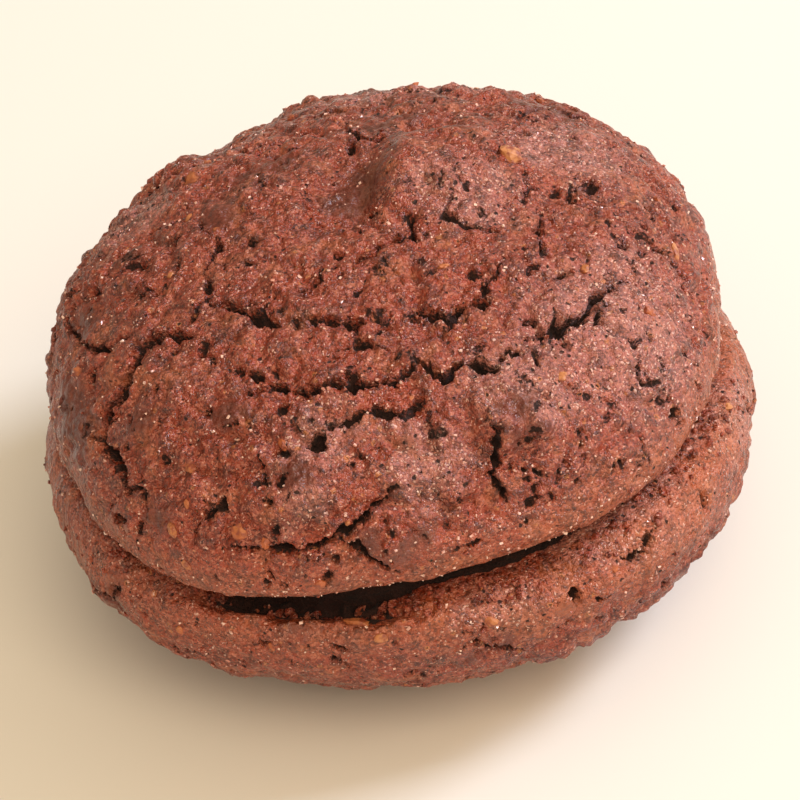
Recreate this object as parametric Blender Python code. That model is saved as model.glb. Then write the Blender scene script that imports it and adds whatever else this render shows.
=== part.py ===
"""Chocolate macaron: two crackled, domed almond shells set base to base.

Lengths are real ones. The named sizes are in millimetres and MM turns them to metres.
+Z points up, the camera side of the macaron is -Y, and the origin is the middle of the
small flat spot that the lower shell rests on.

A place on a crust is given as crust millimetres: (u, v) is laid off along the curved
surface from the crown of the dome, u towards +X and v towards +Y.
"""

import math
import random
from dataclasses import dataclass

import bmesh
import bpy
import numpy as np
from mathutils import Matrix, Vector, noise

MM = 0.001

# The whole macaron
JOINT_GAP = 0.3
REST_RADIUS = 8.0

# The bases: the disc that meets the other shell, the trough round it, and the closed rim's lift
CONTACT_RADIUS = 14.0
TROUGH_RADIUS = 20.2
CLOSED_LIFT = 0.25

# The uneven crust: the height of its slow swells and the lengths of its slow and quick ones
SLOW_SWELL = 0.3
SLOW_LENGTH = 7.0
QUICK_LENGTH = 2.6

# The cracks: how far they stray from a straight run, and the share of full size at their ends
CRACK_STRAY = 0.16
CRACK_END_SIZE = 0.3
FLOOR_STRAY = 0.1

# Sampling
RIM_ROUND_STEPS = 4
CRACK_STEP = 1.3
CUT_LIFT = 0.45
PROBE = 0.3
MERGE_WITHIN = 0.001


def smooth(x):
    """Ease from 0 to 1 as x goes from 0 to 1."""
    x = min(max(x, 0.0), 1.0)
    return x * x * (3.0 - 2.0 * x)


@dataclass(frozen=True)
class Ripple:
    """One wave of the shell's plan outline: its count around, height and direction."""

    waves: int
    height: float
    degrees: float


@dataclass(frozen=True)
class Lump:
    """A smooth swelling of the crust."""

    u: float
    v: float
    length: float
    width: float
    height: float
    heading: float = 0.0


@dataclass(frozen=True)
class Crack:
    """A split in the crust: its turning points, its widest opening and its depth."""

    route: tuple
    width: float
    depth: float


@dataclass(frozen=True)
class Pit:
    """A hole left by a burst bubble or a torn crumb."""

    u: float
    v: float
    length: float
    width: float
    depth: float
    heading: float = 0.0


@dataclass(frozen=True)
class NutBit:
    """A coarse piece of almond baked into the crust."""

    u: float
    v: float
    length: float
    width: float
    height: float
    heading: float = 0.0


@dataclass(frozen=True)
class RimOpening:
    """How far part of the base's edge stands off the joint plane, and where round the shell."""

    depth: float
    degrees: float
    spread: float

    def at(self, angle):
        """The opening's depth at an angle round the shell."""
        off = abs((math.degrees(angle) - self.degrees + 180.0) % 360.0 - 180.0)
        return self.depth * smooth(1.6 * (1.0 - off / self.spread))


@dataclass(frozen=True)
class Shell:
    """The sizes of one shell, taken with its flat base down and its crown up."""

    radius: float
    dome_height: float
    rim_height: float
    rim_width: float
    fullness: float
    ripples: tuple
    gape: RimOpening
    trough: RimOpening
    lean: tuple
    shift: tuple
    segments: int
    dome_rings: int
    grain: float
    seed: int


UPPER = Shell(
    radius=24.0, dome_height=13.4, rim_height=2.4, rim_width=2.4, fullness=2.17,
    ripples=(Ripple(2, 0.47, 60), Ripple(3, 0.15, -33), Ripple(4, 0.24, -43), Ripple(5, 0.38, 21)),
    gape=RimOpening(0.6, -100, 60), trough=RimOpening(0.0, -100, 60), lean=(-1.4, -1.9), shift=(0.15, 0.2),
    segments=80, dome_rings=20, grain=0.12, seed=11,
)
LOWER = Shell(
    radius=24.5, dome_height=13.1, rim_height=2.6, rim_width=2.2, fullness=2.11,
    ripples=(Ripple(2, 0.45, 25), Ripple(3, 0.38, 42), Ripple(4, 0.23, 43), Ripple(5, 0.15, 1)),
    gape=RimOpening(0.9, 102, 50), trough=RimOpening(1.3, 112, 32), lean=(0.0, 0.0), shift=(0.0, 0.0),
    segments=60, dome_rings=15, grain=0.10, seed=23,
)

UPPER_LUMPS = (
    Lump(6.2, 0.8, 9.6, 11.0, 1.3),
    Lump(8.2, -20.2, 5.4, 4.8, 0.9),
    Lump(-7.2, -22.6, 5.5, 4.5, 0.6),
    Lump(-11.0, 8.0, 6.0, 5.0, 0.3, 30),
    Lump(-5.0, 16.5, 16.0, 10.0, -0.8, -15),
    Lump(-12.8, 13.6, 4.5, 4.5, 0.6),
    Lump(6.0, 19.0, 12.0, 8.0, -0.25),
    Lump(-0.5, -28.0, 6.0, 4.0, 0.45),
    Lump(17.5, -13.5, 6.0, 6.5, 0.5),
    Lump(-15.5, -12.5, 7.0, 6.0, 0.45),
)
LOWER_LUMPS = (
    Lump(-7.0, 31.0, 5.0, 3.0, 0.5),
    Lump(16.5, 28.0, 6.0, 4.0, 0.5),
    Lump(10.0, 24.0, 4.0, 3.5, 0.35),
)

UPPER_CRACKS = (
    # the long split across the front, from left to right
    Crack(((-9.7, -12.5), (-7.8, -14.2), (-6.0, -15.9), (-2.6, -16.8), (0.6, -17.4), (2.5, -16.4)),
          0.75, 1.7),
    Crack(((2.1, -15.4), (2.6, -16.5), (4.1, -17.7), (5.2, -16.4), (7.4, -17.1), (8.3, -15.8),
           (10.1, -16.2)), 0.75, 1.7),
    Crack(((9.6, -15.0), (12.0, -14.0), (13.4, -13.2), (15.0, -11.6), (16.4, -10.1), (18.0, -9.1)),
          0.8, 1.8),
    Crack(((10.0, -16.1), (10.6, -17.2)), 0.4, 0.9),
    Crack(((14.0, -14.3), (14.8, -13.3), (15.5, -12.0)), 0.5, 1.1),
    # the second split behind it
    Crack(((-11.0, -6.0), (-9.5, -7.1), (-7.5, -9.3), (-6.2, -10.9)), 0.75, 1.6),
    Crack(((-5.4, -10.2), (-3.2, -11.2), (-1.3, -11.8), (-1.4, -13.1)), 0.7, 1.5),
    Crack(((-2.0, -13.4), (-0.8, -14.1), (0.9, -15.2)), 0.5, 1.0),
    Crack(((1.7, -12.6), (2.9, -11.9), (5.0, -13.0), (5.9, -12.2), (7.2, -11.9)), 0.75, 1.6),
    Crack(((7.2, -11.7), (7.6, -10.5), (9.2, -8.5)), 0.45, 1.0),
    # splits below the mound
    Crack(((-0.9, -8.1), (-0.7, -6.5), (0.7, -6.5), (1.1, -5.7), (3.3, -5.2), (3.6, -3.3), (4.9, -4.7)),
          0.6, 1.2),
    Crack(((-4.6, -8.0), (-3.0, -7.6), (-2.7, -6.5)), 0.55, 1.0),
    Crack(((6.4, -2.2), (5.7, -3.8), (6.9, -4.6), (8.8, -5.7)), 0.45, 0.9),
    # splits on the right
    Crack(((12.5, -3.4), (12.0, -5.9), (11.8, -8.1)), 0.6, 1.2),
    Crack(((11.8, 0.6), (11.9, -1.2), (11.3, -3.3)), 0.4, 0.8),
    Crack(((10.5, -9.8), (10.7, -8.9), (11.6, -8.7)), 0.5, 0.9),
    Crack(((11.0, -10.1), (12.3, -9.6), (14.0, -8.8)), 0.4, 0.8),
    Crack(((16.8, 1.5), (16.4, -0.6), (15.0, -0.9), (14.8, -2.5), (13.5, -2.7)), 0.5, 1.0),
    Crack(((20.7, 0.3), (21.1, -1.8), (21.4, -2.8)), 0.5, 1.0),
    Crack(((19.8, -4.6), (22.0, -5.1), (23.3, -6.0), (24.6, -7.6)), 0.6, 1.3),
    Crack(((17.5, -15.3), (17.8, -17.2), (19.4, -16.9)), 0.4, 0.8),
    # the wide torn split on the left
    Crack(((-21.7, -2.4), (-20.3, -4.4), (-19.0, -5.5), (-16.3, -5.8)), 0.6, 1.2),
    Crack(((-17.0, -7.3), (-15.2, -7.4), (-13.8, -7.9), (-12.0, -9.2)), 0.9, 1.6),
    Crack(((-16.0, -8.0), (-17.6, -9.2), (-18.6, -9.8)), 1.1, 1.6),
    Crack(((-16.6, -10.9), (-18.4, -10.8), (-21.2, -11.4), (-21.4, -12.5), (-20.2, -14.0),
           (-20.0, -16.5)), 1.1, 1.9),
    Crack(((-20.0, -16.3), (-18.8, -17.0), (-19.4, -19.3)), 0.45, 0.9),
    Crack(((-12.8, -8.0), (-11.6, -6.2), (-10.6, -5.9)), 0.5, 1.0),
    Crack(((-11.3, 3.0), (-10.4, 1.0), (-9.5, -0.4), (-10.8, -2.7), (-10.9, -5.8)), 0.65, 1.3),
    Crack(((-23.3, 2.8), (-22.6, 0.2), (-21.8, -2.3)), 0.4, 0.8),
    # splits towards the front rim
    Crack(((-5.6, -19.9), (-4.4, -19.2), (-1.0, -19.0), (0.6, -19.9), (2.2, -19.0)), 0.5, 1.0),
    Crack(((6.3, -20.7), (7.0, -21.5), (6.6, -23.4), (6.3, -24.5), (7.0, -25.4), (7.5, -27.1)),
          0.65, 1.3),
    Crack(((-13.8, -23.7), (-11.4, -24.8), (-9.2, -25.7), (-8.0, -26.3), (-4.8, -26.1), (-2.4, -25.2),
           (-0.5, -24.2)), 0.7, 1.4),
    Crack(((-5.8, -26.6), (-4.7, -27.4), (-3.7, -28.8), (-2.1, -30.2)), 0.55, 1.0),
    Crack(((-12.1, -20.0), (-12.8, -21.0), (-16.1, -21.5)), 0.45, 0.9),
    Crack(((-7.7, -20.9), (-8.7, -21.6)), 0.45, 0.8),
    Crack(((8.4, -24.2), (10.2, -24.3)), 0.35, 0.7),
    # splits behind the mound
    Crack(((0.5, 9.4), (1.2, 7.0), (3.5, 6.4), (6.0, 7.6)), 0.6, 1.2),
    Crack(((-15.0, 12.0), (-12.0, 10.5), (-8.5, 12.2)), 0.5, 1.0),
    Crack(((-3.0, 15.5), (1.0, 14.0), (4.0, 16.0), (8.0, 15.0)), 0.5, 1.1),
    Crack(((12.0, 9.0), (14.5, 11.5), (18.5, 11.0)), 0.5, 1.0),
    Crack(((-4.0, 22.5), (-1.0, 21.0), (3.5, 22.0)), 0.5, 1.0),
)
LOWER_CRACKS = (
    Crack(((2.3, 29.2), (4.0, 28.0), (6.8, 26.8)), 0.5, 0.9),
    Crack(((-15.2, 25.6), (-13.6, 27.2)), 0.5, 0.9),
    Crack(((-8.6, 29.1), (-7.0, 28.8)), 0.45, 0.8),
    Crack(((16.6, 27.4), (18.0, 26.0), (20.5, 25.2)), 0.5, 0.9),
    Crack(((13.2, 27.6), (14.3, 26.0)), 0.45, 0.8),
    Crack(((-27.0, 12.0), (-25.0, 15.5), (-25.6, 18.0)), 0.6, 1.1),
    Crack(((30.5, 3.0), (29.4, 7.0), (30.0, 10.5)), 0.5, 1.0),
    Crack(((-29.0, -4.0), (-27.5, -7.0), (-28.5, -10.0)), 0.5, 1.0),
    Crack(((-14.0, -24.0), (-10.0, -26.0), (-6.5, -25.0), (-3.0, -27.5)), 0.6, 1.2),
    Crack(((8.0, -27.0), (11.5, -24.5), (15.5, -24.0)), 0.6, 1.2),
    Crack(((22.0, -16.0), (24.5, -13.0), (25.0, -9.0)), 0.5, 1.0),
)

UPPER_PITS = (
    Pit(-7.4, -9.4, 1.2, 1.0, 1.2), Pit(-1.3, -12.0, 1.3, 1.0, 1.4), Pit(7.0, -11.9, 1.6, 1.0, 1.3),
    Pit(-5.4, -19.9, 1.4, 1.1, 1.4, 90), Pit(-1.6, -5.6, 0.8, 0.6, 0.8), Pit(3.2, -5.3, 0.9, 0.9, 0.9),
    Pit(8.7, -5.7, 0.8, 0.6, 0.8), Pit(-2.1, -16.2, 0.8, 0.7, 0.9), Pit(10.0, -13.5, 1.1, 0.6, 0.9),
    Pit(1.9, -19.1, 1.0, 0.6, 0.9, 30), Pit(-21.2, -6.3, 0.9, 0.8, 0.9),
    Pit(-22.4, -17.3, 1.7, 0.9, 1.3, -35),
    Pit(-21.0, -19.0, 0.7, 0.5, 0.6), Pit(-7.3, -2.0, 0.7, 0.6, 0.6), Pit(-8.0, -7.7, 0.8, 0.7, 0.8),
    Pit(18.2, -6.0, 1.2, 0.8, 1.0, 90), Pit(-4.7, -27.4, 0.9, 0.8, 0.9), Pit(-12.2, -14.6, 0.7, 0.6, 0.7),
    Pit(21.9, -18.3, 1.5, 0.6, 0.9, 30), Pit(18.8, -13.8, 0.6, 0.5, 0.5), Pit(-3.4, -22.0, 0.6, 0.5, 0.5),
    Pit(0.4, 6.6, 1.4, 0.8, 1.0, 80), Pit(-20.0, 1.7, 1.2, 0.8, 0.9, 20), Pit(13.8, -8.9, 0.8, 0.6, 0.7),
)
LOWER_PITS = (
    Pit(12.2, 28.6, 1.0, 0.8, 1.0, 90), Pit(14.0, 26.2, 0.7, 0.5, 0.7), Pit(-24.0, 16.0, 0.9, 0.8, 0.9),
    Pit(-2.0, 27.0, 0.7, 0.6, 0.6), Pit(24.0, 20.0, 0.9, 0.7, 0.8), Pit(-20.0, -18.0, 1.1, 0.9, 1.0),
    Pit(5.0, -22.0, 1.0, 0.8, 0.9), Pit(28.0, -6.0, 0.9, 0.8, 0.9),
)

UPPER_NUTS = (
    NutBit(11.2, 2.8, 1.5, 1.2, 0.7, 80), NutBit(-12.4, -23.3, 1.3, 1.1, 0.6),
    NutBit(-17.3, -20.7, 1.4, 0.9, 0.6), NutBit(-14.3, -17.6, 0.9, 0.6, 0.4),
    NutBit(-8.4, -29.0, 0.8, 0.7, 0.4), NutBit(11.9, -17.5, 0.9, 0.8, 0.4),
    NutBit(22.9, -4.6, 1.5, 0.6, 0.5, 35), NutBit(-9.7, 0.8, 1.0, 0.6, 0.5, 80),
    NutBit(18.4, -5.8, 0.6, 0.5, 0.5), NutBit(14.8, -8.7, 0.9, 0.7, 0.4),
    NutBit(-11.2, 8.6, 1.6, 1.1, 0.6, 70), NutBit(5.5, 19.0, 1.2, 0.8, 0.5),
)
LOWER_NUTS = (
    NutBit(-7.0, 31.3, 2.0, 1.0, 0.7), NutBit(-4.6, 30.6, 1.0, 0.8, 0.5), NutBit(5.0, 30.6, 1.0, 0.7, 0.4),
    NutBit(-18.0, -22.0, 1.2, 0.8, 0.5), NutBit(24.0, 12.0, 1.0, 0.8, 0.3),
)


def clear_scene():
    """Remove every object and mesh, so that a second run starts clean."""
    for thing in list(bpy.data.objects):
        bpy.data.objects.remove(thing)
    for mesh in list(bpy.data.meshes):
        bpy.data.meshes.remove(mesh)


def baked_material(name, colour, roughness):
    """A Principled material with a plain colour."""
    material = bpy.data.materials.new(name)
    material.use_nodes = True
    shader = material.node_tree.nodes["Principled BSDF"]
    shader.inputs["Base Color"].default_value = (*colour, 1.0)
    shader.inputs["Roughness"].default_value = roughness
    shader.inputs["Metallic"].default_value = 0.0
    material.diffuse_color = (*colour, 1.0)
    return material


def dome_profile(shell, steps=160):
    """The dome's outline from its crown to its widest rim, as (radius, height) pairs."""
    angles = np.linspace(0.0, math.pi / 2, steps)
    power = 2.0 / shell.fullness
    radii = shell.radius * np.sin(angles) ** power
    heights = shell.rim_height + shell.dome_height * np.cos(angles) ** power
    turn = np.linspace(0.0, math.pi / 2, steps // 4)[1:]
    radii = np.append(radii, shell.radius - shell.rim_width * (1.0 - np.cos(turn)))
    heights = np.append(heights, shell.rim_height * (1.0 - np.sin(turn)))
    return radii, heights


class Crust:
    """The outer surface of one shell, with crown up, that places things in crust millimetres."""

    def __init__(self, shell, lumps):
        self.shell = shell
        self.lumps = lumps
        self.radii, self.heights = dome_profile(shell)
        strides = np.hypot(np.diff(self.radii), np.diff(self.heights))
        self.along = np.concatenate(([0.0], np.cumsum(strides)))

    def outline_ripple(self, angle):
        """How far the plan outline stands out of a true circle at an angle."""
        return sum(
            ripple.height * math.cos(ripple.waves * (angle - math.radians(ripple.degrees)))
            for ripple in self.shell.ripples
        )

    def leaned(self, point):
        """A point after the whole dome's slight lean and shift."""
        tip, roll = (math.radians(a) for a in self.shell.lean)
        turned = Matrix.Rotation(tip, 3, "X") @ Matrix.Rotation(roll, 3, "Y") @ point
        return turned + Vector((*self.shell.shift, 0.0))

    def placed(self, radius, height, angle):
        """A point of the turned profile, carried out to the rippled outline and leaned."""
        wide = radius * (1.0 + radius / self.shell.radius * self.outline_ripple(angle) / self.shell.radius)
        return self.leaned(Vector((wide * math.cos(angle), wide * math.sin(angle), height)))

    def swelling(self, u, v):
        """Height of the lumps and of the uneven crust above the plain dome."""
        total = 0.0
        for lump in self.lumps:
            turn = math.radians(lump.heading)
            du, dv = u - lump.u, v - lump.v
            across = (du * math.cos(turn) + dv * math.sin(turn)) / (lump.length / 2)
            over = (dv * math.cos(turn) - du * math.sin(turn)) / (lump.width / 2)
            total += lump.height * smooth(1.25 - 0.8 * math.hypot(across, over))
        slow = noise.noise(Vector((u / SLOW_LENGTH, v / SLOW_LENGTH, self.shell.seed)))
        quick = noise.noise(Vector((u / QUICK_LENGTH, v / QUICK_LENGTH, self.shell.seed + 5)))
        return total + SLOW_SWELL * slow + self.shell.grain * quick

    def bare(self, u, v):
        """The plain dome's point at crust millimetres (u, v)."""
        distance = math.hypot(u, v)
        radius = float(np.interp(distance, self.along, self.radii))
        height = float(np.interp(distance, self.along, self.heights))
        return self.placed(radius, height, math.atan2(v, u))

    def normal(self, u, v, step=0.2):
        """The outward direction of the plain dome at (u, v)."""
        eastward = self.bare(u + step, v) - self.bare(u - step, v)
        northward = self.bare(u, v + step) - self.bare(u, v - step)
        return eastward.cross(northward).normalized()

    def point(self, u, v):
        """The uneven crust's point at (u, v)."""
        return self.bare(u, v) + self.normal(u, v) * self.swelling(u, v)


def shell_body(name, crust):
    """One whole shell as a closed solid, crown up, with its flat base on z = 0."""
    shell = crust.shell
    reach = float(np.interp(shell.rim_height, crust.heights[::-1], crust.along[::-1]))
    rows = []
    for ring in range(1, shell.dome_rings + 1):
        rows.append(("dome", reach * ring / shell.dome_rings))
    for step in range(1, RIM_ROUND_STEPS + 1):
        rows.append(("round", step / RIM_ROUND_STEPS))
    rows.append(("trough", 1.0))
    rows.append(("base", 1.0))
    mesh = bmesh.new()
    crown = mesh.verts.new(crust.point(0.0, 0.0))
    centre = mesh.verts.new((0.0, 0.0, 0.0))
    loops = []
    for kind, where in rows:
        loop = []
        for index in range(shell.segments):
            angle = 2.0 * math.pi * index / shell.segments
            loop.append(mesh.verts.new(ring_point(crust, kind, where, angle, reach)))
        loops.append(loop)
    for index in range(shell.segments):
        after = (index + 1) % shell.segments
        mesh.faces.new((crown, loops[0][index], loops[0][after]))
        for upper, under in zip(loops, loops[1:]):
            mesh.faces.new((upper[index], under[index], under[after], upper[after]))
        mesh.faces.new((loops[-1][after], loops[-1][index], centre))
    return object_from(name, mesh)


def ring_point(crust, kind, where, angle, reach):
    """A point of one ring: on the dome, the rim's rounding, the trough behind it or the contact edge."""
    shell = crust.shell
    if kind == "dome":
        return crust.point(where * math.cos(angle), where * math.sin(angle))
    if kind == "base":
        return Vector((CONTACT_RADIUS * math.cos(angle), CONTACT_RADIUS * math.sin(angle), 0.0))
    lift = CLOSED_LIFT + shell.gape.at(angle)
    if kind == "trough":
        height = 0.6 * lift + shell.trough.at(angle)
        return Vector((TROUGH_RADIUS * math.cos(angle), TROUGH_RADIUS * math.sin(angle), height))
    turn = where * math.pi / 2
    radius = shell.radius - shell.rim_width * (1.0 - math.cos(turn))
    height = shell.rim_height - (shell.rim_height - lift) * math.sin(turn)
    plain = crust.placed(radius, height, angle)
    edge_u, edge_v = reach * math.cos(angle), reach * math.sin(angle)
    fade = math.cos(turn)
    out = crust.normal(edge_u, edge_v) * crust.swelling(edge_u, edge_v) * fade
    point = plain + out
    point.z = max(point.z, 0.2)
    return point


def object_from(name, mesh):
    """Turn a bmesh in millimetres into a linked object."""
    bmesh.ops.recalc_face_normals(mesh, faces=mesh.faces)
    data = bpy.data.meshes.new(name)
    mesh.to_mesh(data)
    mesh.free()
    thing = bpy.data.objects.new(name, data)
    bpy.context.scene.collection.objects.link(thing)
    return thing


def wandering(route, rng):
    """Fill in a route between its turning points, with a small sideways wander."""
    places = []
    for start, end in zip(route, route[1:]):
        start, end = Vector(start), Vector(end)
        run = end - start
        side = Vector((-run.y, run.x)).normalized()
        count = max(1, round(run.length / CRACK_STEP))
        for index in range(count):
            drift = rng.uniform(-CRACK_STRAY, CRACK_STRAY) if index else 0.0
            places.append(start + run * index / count + side * drift)
    places.append(Vector(route[-1]))
    return places


def crack_cutter(crust, crack, rng):
    """A wedge that follows a crack, with its edge down in the crust and pointed ends."""
    places = wandering(crack.route, rng)
    mesh = bmesh.new()
    sections = []
    last = len(places) - 1
    for index, place in enumerate(places):
        ahead = places[min(index + 1, last)] - places[max(index - 1, 0)]
        along = Vector((ahead.x, ahead.y)).normalized()
        at = crust.point(*place)
        out = crust.normal(*place)
        beside = place + Vector((-along.y, along.x)) * PROBE
        side = crust.bare(*beside) - crust.bare(*place)
        side = (side - out * side.dot(out)).normalized()
        from_end = min(index, last - index) / max(last, 1)
        share = min(1.0, CRACK_END_SIZE + 2.0 * from_end)
        deep = crack.depth * share
        half = crack.width * share * rng.uniform(0.8, 1.15) / 2
        top = half * (deep + CUT_LIFT) / deep
        floor = at - out * deep + side * rng.uniform(-FLOOR_STRAY, FLOOR_STRAY)
        sections.append([
            mesh.verts.new(at + out * CUT_LIFT + side * top),
            mesh.verts.new(at + out * CUT_LIFT - side * top),
            mesh.verts.new(floor),
        ])
    for here, there in zip(sections, sections[1:]):
        for corner in range(3):
            after = (corner + 1) % 3
            mesh.faces.new((here[corner], here[after], there[after], there[corner]))
    mesh.faces.new(sections[0][::-1])
    mesh.faces.new(sections[-1])
    bmesh.ops.triangulate(mesh, faces=mesh.faces)
    return object_from("crack_cutter", mesh)


def pebble(crust, name, feature, half_height, rng):
    """A small uneven ellipsoid set in the crust, long the way the feature heads."""
    mesh = bmesh.new()
    bmesh.ops.create_icosphere(mesh, subdivisions=1, radius=1.0)
    out = crust.normal(feature.u, feature.v)
    turn = math.radians(feature.heading)
    toward = crust.bare(feature.u + PROBE * math.cos(turn), feature.v + PROBE * math.sin(turn))
    along = toward - crust.bare(feature.u, feature.v)
    along = (along - out * along.dot(out)).normalized()
    across = out.cross(along)
    middle = crust.point(feature.u, feature.v)
    for vert in mesh.verts:
        x, y, z = vert.co * rng.uniform(0.88, 1.1)
        flat = along * x * feature.length / 2 + across * y * feature.width / 2
        vert.co = middle + flat + out * z * half_height
    return object_from(name, mesh)


def combine(body, tool, operation):
    """Apply one Boolean to a body and remove the tool."""
    step = body.modifiers.new(operation.lower(), "BOOLEAN")
    step.operation = operation
    step.solver = "EXACT"
    step.object = tool
    depsgraph = bpy.context.evaluated_depsgraph_get()
    result = bpy.data.meshes.new_from_object(body.evaluated_get(depsgraph))
    body.modifiers.remove(step)
    old = body.data
    body.data = result
    bpy.data.meshes.remove(old)
    bpy.data.objects.remove(tool)


def bake_crust(body, crust, cracks, pits, nuts):
    """Fuse the nut bits to a shell, then split and pit its crust."""
    rng = random.Random(crust.shell.seed)
    for nut in nuts:
        combine(body, pebble(crust, "nut", nut, nut.height, rng), "UNION")
    for crack in cracks:
        combine(body, crack_cutter(crust, crack, rng), "DIFFERENCE")
    for pit in pits:
        combine(body, pebble(crust, "pit", pit, pit.depth, rng), "DIFFERENCE")


def clean_up(body):
    """Merge the near-coincident points that cutting leaves."""
    mesh = bmesh.new()
    mesh.from_mesh(body.data)
    bmesh.ops.remove_doubles(mesh, verts=mesh.verts, dist=MERGE_WITHIN)
    bmesh.ops.dissolve_degenerate(mesh, edges=mesh.edges, dist=MERGE_WITHIN)
    bmesh.ops.triangulate(mesh, faces=mesh.faces)
    bmesh.ops.recalc_face_normals(mesh, faces=mesh.faces)
    mesh.to_mesh(body.data)
    mesh.free()


def drop_loose_crumbs(body):
    """Keep the shell itself and delete the crumbs that crossing cracks cut free."""
    mesh = bmesh.new()
    mesh.from_mesh(body.data)
    waiting = set(mesh.verts)
    groups = []
    while waiting:
        group = {waiting.pop()}
        edge_of_group = list(group)
        while edge_of_group:
            vert = edge_of_group.pop()
            found = {edge.other_vert(vert) for edge in vert.link_edges} & waiting
            waiting -= found
            group |= found
            edge_of_group.extend(found)
        groups.append(group)
    groups.sort(key=len)
    loose = [vert for group in groups[:-1] for vert in group]
    bmesh.ops.delete(mesh, geom=loose, context="VERTS")
    mesh.to_mesh(body.data)
    mesh.free()


def rest_cut(body, crust):
    """Slice the crown off square, for the small flat spot that the macaron rests on."""
    lowest = crust.bare(REST_RADIUS, 0.0).z
    mesh = bmesh.new()
    mesh.from_mesh(body.data)
    edge = bmesh.ops.bisect_plane(
        mesh, geom=mesh.verts[:] + mesh.edges[:] + mesh.faces[:],
        plane_co=(0.0, 0.0, lowest), plane_no=(0.0, 0.0, 1.0), clear_outer=True,
    )
    rim = [item for item in edge["geom_cut"] if isinstance(item, bmesh.types.BMEdge)]
    bmesh.ops.contextual_create(mesh, geom=rim)
    bmesh.ops.recalc_face_normals(mesh, faces=mesh.faces)
    mesh.to_mesh(body.data)
    mesh.free()
    return lowest


def stand(body, transform, material):
    """Move a shell to its place in metres, give it its material and shade it."""
    body.data.transform(transform)
    if transform.determinant() < 0.0:
        body.data.flip_normals()
    body.data.materials.clear()
    body.data.materials.append(material)
    body.data.shade_flat()


def build():
    """Make the two shells, the lower one upside down under the upper one."""
    clear_scene()
    crust_brown = baked_material("cocoa_crust", (0.19, 0.075, 0.045), 0.85)
    crust_brown_low = baked_material("cocoa_crust_low", (0.17, 0.068, 0.04), 0.85)

    low_crust = Crust(LOWER, LOWER_LUMPS)
    low = shell_body("lower_shell", low_crust)
    bake_crust(low, low_crust, LOWER_CRACKS, LOWER_PITS, LOWER_NUTS)
    low_height = rest_cut(low, low_crust)
    clean_up(low)
    drop_loose_crumbs(low)
    turn_over = Matrix.Rotation(math.pi, 4, "X")
    scale = Matrix.Scale(MM, 4)
    stand(low, scale @ Matrix.Translation((0.0, 0.0, low_height)) @ turn_over, crust_brown_low)

    top_crust = Crust(UPPER, UPPER_LUMPS)
    top = shell_body("upper_shell", top_crust)
    bake_crust(top, top_crust, UPPER_CRACKS, UPPER_PITS, UPPER_NUTS)
    clean_up(top)
    drop_loose_crumbs(top)
    stand(top, scale @ Matrix.Translation((0.0, 0.0, low_height + JOINT_GAP)), crust_brown)


build()
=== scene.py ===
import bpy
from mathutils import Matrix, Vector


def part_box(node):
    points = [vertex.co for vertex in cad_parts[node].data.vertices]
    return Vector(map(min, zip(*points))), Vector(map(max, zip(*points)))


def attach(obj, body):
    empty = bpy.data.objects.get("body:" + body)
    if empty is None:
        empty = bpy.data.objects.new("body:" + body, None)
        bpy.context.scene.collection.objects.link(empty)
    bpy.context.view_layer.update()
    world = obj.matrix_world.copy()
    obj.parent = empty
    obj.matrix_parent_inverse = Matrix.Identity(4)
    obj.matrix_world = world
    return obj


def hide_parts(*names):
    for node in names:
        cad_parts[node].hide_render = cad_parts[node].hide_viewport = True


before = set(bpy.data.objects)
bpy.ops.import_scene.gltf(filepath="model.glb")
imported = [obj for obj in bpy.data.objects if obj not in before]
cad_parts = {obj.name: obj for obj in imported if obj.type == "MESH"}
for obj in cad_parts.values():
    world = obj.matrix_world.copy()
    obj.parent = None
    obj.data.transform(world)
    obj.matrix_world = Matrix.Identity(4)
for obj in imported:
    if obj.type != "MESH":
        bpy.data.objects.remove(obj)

"""Looks of an old-style chocolate macaron: two crackled cocoa crusts set base to base.

Sizes are written in millimetres and MM turns them to metres. A place on a crust is given in
crust millimetres (u, v), laid off along the curved surface from the crown of its dome, as in
the part's own source. The lower shell's crust is worked out crown up and then turned over.
"""

import logging
import math
import random
from dataclasses import dataclass, field
from enum import Enum

import bpy
import numpy as np
from mathutils import Matrix, Vector, kdtree, noise

MM = 0.001
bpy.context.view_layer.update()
LOG = logging.getLogger("macaron")

# the mark "opening" of crust that is well outside every split
FAR_OUTSIDE = -0.8

Route = tuple[tuple[float, float], ...]


class Side(Enum):
    """Which of the two shells a thing belongs to."""

    UPPER = "upper"
    LOWER = "lower"


def smooth(x: np.ndarray) -> np.ndarray:
    """Ease from 0 to 1 as x goes from 0 to 1."""
    x = np.clip(x, 0.0, 1.0)
    return x * x * (3.0 - 2.0 * x)


def linear(hex_colour: str) -> tuple[float, float, float, float]:
    """Turn an sRGB hex colour to the linear values that a shader takes.

    Args:
        hex_colour: six hex digits, with or without a leading hash.

    Returns:
        Linear red, green, blue and an alpha of 1.
    """
    digits = hex_colour.lstrip("#")
    shares = [int(digits[i:i + 2], 16) / 255.0 for i in (0, 2, 4)]
    turned = [s / 12.92 if s <= 0.04045 else ((s + 0.055) / 1.055) ** 2.4 for s in shares]
    return (turned[0], turned[1], turned[2], 1.0)


def per_mm(size: float) -> float:
    """The texture scale on metre coordinates whose features are about `size` millimetres."""
    return 1.0 / (size * MM)


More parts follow.
